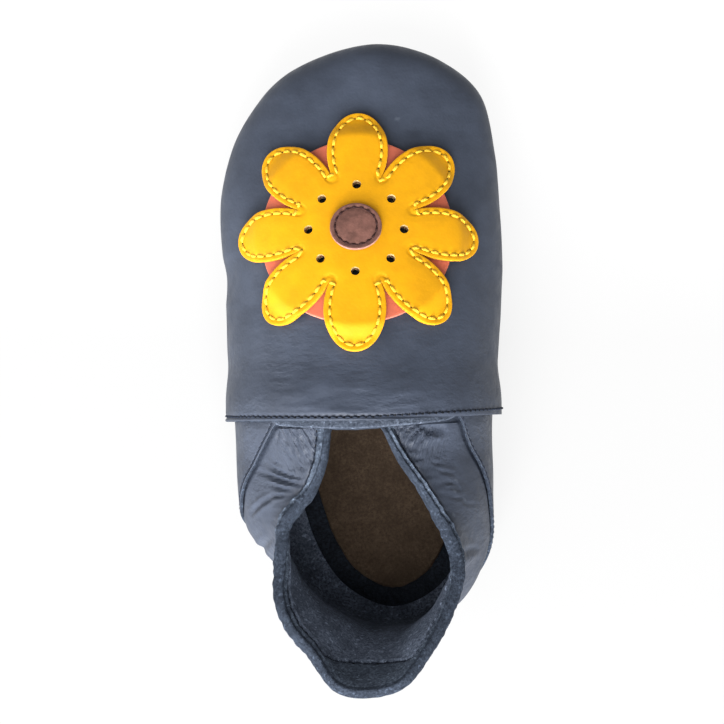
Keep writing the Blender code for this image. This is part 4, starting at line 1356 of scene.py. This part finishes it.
class Paint:
    """One procedural material on a Principled shader, with helpers for its textures."""

    def __init__(self, name, roughness, sheen=0.0, specular=0.5, sheen_tint=(1.0, 1.0, 1.0, 1.0)):
        self.material = bpy.data.materials.new(name)
        self.material.use_nodes = True
        self.tree = self.material.node_tree
        self.shader = self.tree.nodes["Principled BSDF"]
        wanted = {"Roughness": roughness, "Specular IOR Level": specular}
        wanted.update({"Sheen Weight": sheen, "Sheen Roughness": 0.5, "Sheen Tint": sheen_tint})
        for key, value in wanted.items():
            self.shader.inputs[key].default_value = value
        self.place = self.add("ShaderNodeTexCoord").outputs["Object"]
        self.normal = None

    def add(self, kind, inputs=None, **settings):
        """A new node; each input takes a value or is joined to another node's output."""
        node = self.tree.nodes.new(kind)
        for key, value in settings.items():
            setattr(node, key, value)
        for key, value in (inputs or {}).items():
            if isinstance(value, bpy.types.NodeSocket):
                self.tree.links.new(value, node.inputs[key])
            else:
                node.inputs[key].default_value = value
        return node

    def noise(self, scale, detail=3.0, roughness=0.5, stretch=(1.0, 1.0, 1.0)):
        place = self.add("ShaderNodeMapping", {"Vector": self.place, "Scale": stretch}).outputs["Vector"]
        wanted = {"Vector": place, "Scale": scale, "Detail": detail, "Roughness": roughness}
        return self.add("ShaderNodeTexNoise", wanted).outputs[0]

    def cells(self, scale):
        wanted = {"Vector": self.place, "Scale": scale}
        return self.add("ShaderNodeTexVoronoi", wanted, feature="SMOOTH_F1").outputs["Distance"]

    def pointiness(self):
        return self.add("ShaderNodeNewGeometry").outputs["Pointiness"]

    def spread(self, value, low, high, to_low=0.0, to_high=1.0):
        """A value's range from low to high, stretched to another range."""
        wanted = {"Value": value, "From Min": low, "From Max": high, "To Min": to_low, "To Max": to_high}
        return self.add("ShaderNodeMapRange", wanted).outputs["Result"]

    def mix(self, share, first, second):
        return self.add("ShaderNodeMix", {0: share, 6: first, 7: second}, data_type="RGBA").outputs[2]

    def patches(self, height, front, rear):
        """A height that fades in from one place along the shoe to another behind it, in soft patches."""
        along = self.part(self.place, "Y")
        patch = self.spread(self.noise(110, 2), 0.40, 0.60, 0.15)
        return self.product(height, self.product(self.spread(along, front, rear), patch))

    def part(self, vector, axis):
        """One axis of a vector."""
        return self.add("ShaderNodeSeparateXYZ", {"Vector": vector}).outputs[axis]

    def product(self, first, second):
        return self.add("ShaderNodeMath", {0: first, 1: second}, operation="MULTIPLY").outputs[0]

    def gathers(self, front, rear):
        """Fine lines that run back and inwards from one place along the shoe and fade away behind it."""
        mirrored = self.add("ShaderNodeVectorMath", {0: self.place}, operation="ABSOLUTE").outputs["Vector"]
        turned = {"Vector": mirrored, "Rotation": (0.0, 0.0, FINE_GATHER_TURN), "Scale": (1.0, 5.0, 1.0)}
        place = self.add("ShaderNodeMapping", turned, vector_type="TEXTURE").outputs["Vector"]
        texture = self.add("ShaderNodeTexNoise", {"Vector": place, "Scale": 1100, "Detail": 2.0})
        lines = self.spread(texture.outputs[0], 0.3, 0.7, -0.5, 0.5)
        along = self.part(self.place, "Y")
        begun = self.product(self.spread(along, front, front - 1 * MM), self.spread(along, rear, front))
        near = self.spread(self.part(mirrored, "X"), 20 * MM, 14 * MM)
        return self.product(lines, self.product(begun, near))

    def bump(self, height, distance, strength=1.0):
        """Lays a height over the bumps that are there already."""
        wanted = {"Height": height, "Distance": distance, "Strength": strength}
        if self.normal:
            wanted["Normal"] = self.normal
        self.normal = self.add("ShaderNodeBump", wanted).outputs["Normal"]

    def finish(self, colour, roughness=None):
        """Joins colour, roughness and bumps to the shader, and returns the material."""
        self.tree.links.new(colour, self.shader.inputs["Base Color"])
        if roughness:
            self.tree.links.new(roughness, self.shader.inputs["Roughness"])
        self.tree.links.new(self.normal, self.shader.inputs["Normal"])
        return self.material


def leather(name, colour, roughness, worn=None, grain=1.0, cloud=0.10, crinkled=False):
    """Smooth dyed leather: pores, wrinkles, cloudy colour, paler on worn ridges, and painted shade darkening
    the folds.
    """
    p = Paint(name, roughness, specular=0.20)
    clouds = p.spread(p.noise(120 if cloud < 0.2 else 420, 5, 0.65), 0.35, 0.65)
    base = p.mix(clouds, shade(colour, 1 - cloud), shade(colour, 1 + cloud))
    specks = p.spread(p.noise(1500, 3, 0.7), 0.62, 0.80, 0.0, 0.35)
    base = p.mix(specks, base, shade(colour, 1.5))
    if worn:
        base = p.mix(p.spread(p.pointiness(), 0.53, 0.66, 0.0, 0.35), base, worn)
        # Painted shade: the colour darkens where the surface folds inwards, as shade would fall there.
        base = p.mix(p.spread(p.pointiness(), 0.47, 0.38, 0.0, 0.6), base, shade(colour, 0.4))
    p.bump(p.cells(1700), 0.07 * MM * grain, 0.45)
    p.bump(p.noise(900, 4, 0.6), 0.09 * MM * grain, 0.45)
    p.bump(p.noise(230, 3, 0.5, (1.0, 1.6, 1.0)), 0.20 * MM * grain, 0.40)
    if crinkled:
        wrinkles = p.patches(p.noise(620, 3, 0.55, (0.5, 1.5, 1.0)), *FINE_WRINKLES)
        p.bump(wrinkles, FINE_WRINKLE_DEPTH, 0.7)
        p.bump(p.gathers(*FINE_GATHERS), FINE_GATHER_DEPTH)
    return p.finish(base, p.spread(p.noise(400, 3), 0.3, 0.7, roughness - 0.06, roughness + 0.08))


def suede(name, dark, light, nap=1.0, fleck=1.0):
    """Napped leather: short fibres, brushed patches, no gloss."""
    p = Paint(name, 0.95, sheen=0.12, specular=0.12, sheen_tint=shade(light, 1.6))
    fibres = p.spread(p.noise(1700, 6, 0.75), 0.38, 0.66)
    base = p.mix(fibres, dark, light)
    brushed = p.spread(p.noise(190, 4, 0.6), 0.40, 0.64, 0.0, 0.55)
    base = p.mix(brushed, base, shade(dark, 0.8))
    flecks = p.spread(p.noise(2600, 3, 0.8, (1.0, 0.35, 1.0)), 0.66, 0.78, 0.0, 0.6 * fleck)
    base = p.mix(flecks, base, shade(light, 1.8))
    tufts = p.spread(p.noise(1000, 2, 0.6), 0.60, 0.70, 0.0, 0.55 * fleck)
    base = p.mix(tufts, base, shade(light, 1.7))
    p.bump(p.noise(1500, 6, 0.75), 0.30 * MM * nap, 0.7)
    p.bump(p.noise(300, 4, 0.6), 0.25 * MM * nap, 0.35)
    return p.finish(base)


def thread(name, colour):
    """Twisted sewing thread."""
    p = Paint(name, 0.75, sheen=0.08, specular=0.15, sheen_tint=shade(colour, 3.0))
    base = p.mix(p.spread(p.noise(2500, 2), 0.4, 0.6), shade(colour, 0.75), shade(colour, 1.15))
    p.bump(p.noise(3200, 2, 0.5), 0.08 * MM, 0.6)
    return p.finish(base)


def soft_box(name, place, power):
    """A soft light that faces the shoe."""
    data = bpy.data.lights.new(name, "AREA")
    data.shape = "SQUARE"
    data.size = SOFT_BOX
    data.energy = power
    obj = placed(name, data)
    obj.location = place
    obj.rotation_euler = (Vector(LIGHT_AIM) - Vector(place)).to_track_quat("-Z", "Y").to_euler()


def add_floor():
    """A dark grey floor that glows: painted light makes it pale and fills in the shoe's shadows on it."""
    bm = bmesh.new()
    bmesh.ops.create_grid(bm, x_segments=1, y_segments=1, size=FLOOR_SIZE)
    mesh = mesh_of("floor", bm)
    p = Paint("glowing floor", 0.9, specular=0.1)
    # Painted light: the floor's glow, stronger past the toe, fills in the shadows that the lights cast on it.
    p.shader.inputs["Emission Color"].default_value = (1.0, 1.0, 1.0, 1.0)
    glow = p.spread(p.part(p.place, "Y"), 0.0, GLOW_REACH, GLOW_REAR, GLOW_FRONT)
    p.tree.links.new(glow, p.shader.inputs["Emission Strength"])
    p.bump(p.noise(500, 3), 0.02 * MM, 0.2)
    mesh.materials.append(p.finish(p.mix(p.noise(4, 2), rgb(63, 63, 63), rgb(66, 66, 66))))
    floor = placed("floor", mesh)
    floor.location = (0, 0, -FLOOR_DROP)


def add_camera():
    """The camera, with the heel-to-toe direction upright in the picture."""
    data = bpy.data.cameras.new("camera")
    data.lens = CAMERA_LENS
    data.sensor_width = CAMERA_SENSOR
    data.dof.use_dof = False
    camera = placed("camera", data)
    back = (Vector(CAMERA_PLACE) - Vector(CAMERA_AIM)).normalized()
    right = Vector((0, 1, 0)).cross(back).normalized()
    turn = Matrix([right, back.cross(right), back]).transposed()
    camera.matrix_world = Matrix.LocRotScale(Vector(CAMERA_PLACE), turn, None)
    bpy.context.scene.camera = camera


def studio():
    """Glowing floor, soft light from the rear, the top and the left, and the camera above the shoe."""
    add_floor()
    world = bpy.data.worlds.new("studio")
    world.use_nodes = True
    sky = world.node_tree.nodes["Background"]
    sky.inputs["Color"].default_value = (1.0, 1.0, 1.0, 1.0)
    sky.inputs["Strength"].default_value = SKY
    bpy.context.scene.world = world
    for light in LIGHTS:
        soft_box(*light)
    add_camera()
    bpy.context.scene.view_settings.view_transform = "Standard"


def ride(*objs):
    """Fixes pieces to the shoe's one body."""
    for obj in objs:
        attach(obj, "root")


def vamp_seam(vamp):
    """The path of the stitches along the vamp's rear edge, laid on its surface."""
    tree = surface_of(vamp)
    y = THROAT_Y + UNDERLAY_SHOWING + VAMP_SEAM
    halves = [vamp_columns(*forefoot_rib(side, y))[0][VAMP_SEAM_FIRST:] for side in ("lateral", "medial")]
    line = np.concatenate([halves[0], halves[1][::-1]])
    for _ in range(VAMP_SEAM_SMOOTHING):
        line[1:-1] = (line[:-2] + 2 * line[1:-1] + line[2:]) / 4
    above = line + unit(line - (0, y, 15 * MM)) * 3 * MM
    return np.array([[*hit, *way] for hit, way, _, _ in (tree.find_nearest(Vector(p)) for p in above)])


def main():
    """Builds every piece and the studio."""
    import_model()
    navy = leather("navy leather", rgb(52, 58, 70), 0.47, rgb(92, 99, 111), 1.0, 0.14, True)
    lining = suede("navy suede", rgb(50, 56, 68), rgb(112, 122, 140), 1.0, 0.9)
    casing = suede("casing suede", rgb(36, 42, 53), rgb(86, 96, 110))
    strip = suede("underlay suede", rgb(44, 50, 61), rgb(92, 100, 114), 1.3)
    raw = suede("raw navy edge", rgb(26, 31, 40), rgb(60, 68, 81), 1.2)
    bottom = suede("sole suede", rgb(40, 46, 58), rgb(84, 94, 110))
    # A darker copy of the sole suede: painted shade for the sole's inner face inside the shoe.
    dim = suede("sole suede in painted shade", rgb(20, 23, 29), rgb(44, 50, 60), 1.0, 0.4)
    # The insole's tan, darkened well below its own colour: partly painted shade for the inside of the shoe.
    tan = suede("insole suede in painted shade", rgb(57, 46, 37), rgb(82, 68, 55), 0.6, 0.25)
    coral = leather("coral leather", rgb(176, 92, 70), 0.58, grain=0.6)
    coral_raw = suede("coral edge", rgb(178, 96, 80), rgb(206, 136, 118), 0.4)
    yellow = leather("yellow leather", rgb(197, 139, 0), 0.58, grain=0.5)
    yellow_raw = suede("yellow edge", rgb(190, 124, 10), rgb(220, 160, 40), 0.4)
    rim = suede("punched rim", rgb(150, 120, 70), rgb(216, 196, 150), 0.4)
    brown = leather("brown leather", rgb(100, 68, 60), 0.62, grain=1.4, cloud=0.30)
    brown_raw = suede("brown edge", rgb(136, 96, 86), rgb(170, 132, 120), 0.5)
    navy_thread = thread("navy thread", rgb(28, 34, 46))
    # Painted shade: near-black beads stand for the shade in the navy stitches' needle holes.
    navy_hole_shade = thread("navy needle hole shade", rgb(11, 13, 18))
    yellow_thread = thread("yellow thread", rgb(216, 172, 50))
    brown_thread = thread("brown thread", rgb(48, 28, 27))
    # Painted shade: dark yellow-brown beads stand for the shade in the yellow stitches' needle holes.
    dark = thread("needle hole", rgb(104, 76, 14))

    ride(make_sole(bottom, dim), make_insole(tan))
    upper, collar_rows = make_upper(navy, lining, raw, casing)
    ride(upper, make_underlay(strip))
    vamp, plain = make_vamp(navy, raw)
    ride(vamp)
    seams = []
    for side in ("lateral", "medial"):
        panel, path = make_side_panel(side, navy, raw)
        ride(panel)
        seams.append((path, PANEL_PITCH, PANEL_THREAD))
    seams += [(path, COLLAR_PITCH, NAVY_THREAD) for path in collar_rows]
    seams.append((vamp_seam(vamp), VAMP_PITCH, NAVY_THREAD, 0.62, 1.2))
    forms = [stitch_forms(*seam) for seam in seams]
    for name, kind, material in (("navy_stitches", 0, navy_thread), ("navy_needle_hole_shade", 1, navy_hole_shade)):
        piece = joined(name, [form for pair in forms for form in pair[kind]], material)
        ride(piece)

    ground = Ground(*plain)
    disc = make_applique("applique_disc", ground, level(DISC_RADIUS), DISC_SPOKES, level(GAP),
                         DISC_THICKNESS, 0.0, (coral, coral_raw))
    flower = make_applique("applique_flower", ground, petal_reach, PETALS * PETAL_SPOKES, flower_lift,
                           FLOWER_THICKNESS, FLOWER_SEAM, (yellow, yellow_raw))
    centre_lift = flower_lift(0.0) + FLOWER_THICKNESS + GAP
    centre = make_applique("applique_centre", ground, level(CENTRE_RADIUS), CENTRE_SPOKES, level(centre_lift),
                           CENTRE_THICKNESS, CENTRE_SEAM, (brown, brown_raw))
    punch((disc, flower), ground, rim)
    ride(disc, flower, centre)
    petal_line = inset_line(flat_outline(petal_reach, LINE_POINTS), FLOWER_SEAM)
    path = laid_path(ground, surface_of(flower), petal_line[::3], 3 * MM)
    stitches, holes = stitch_forms(path, FLOWER_PITCH, YELLOW_THREAD, 0.80, 0.62)
    rows = (("yellow_stitches", stitches, yellow_thread), ("needle_hole_shade", holes, dark))
    for name, parts, material in rows:
        piece = joined(name, parts, material)
        ride(piece)
    ring = inset_line(flat_outline(level(CENTRE_RADIUS), LINE_POINTS // PETALS), CENTRE_SEAM)
    path = laid_path(ground, surface_of(centre), ring, 4 * MM)
    stitches, holes = stitch_forms(path, CENTRE_PITCH, NAVY_THREAD)
    piece = joined("brown_stitches", stitches + holes, brown_thread)
    ride(piece)

    studio()


main()
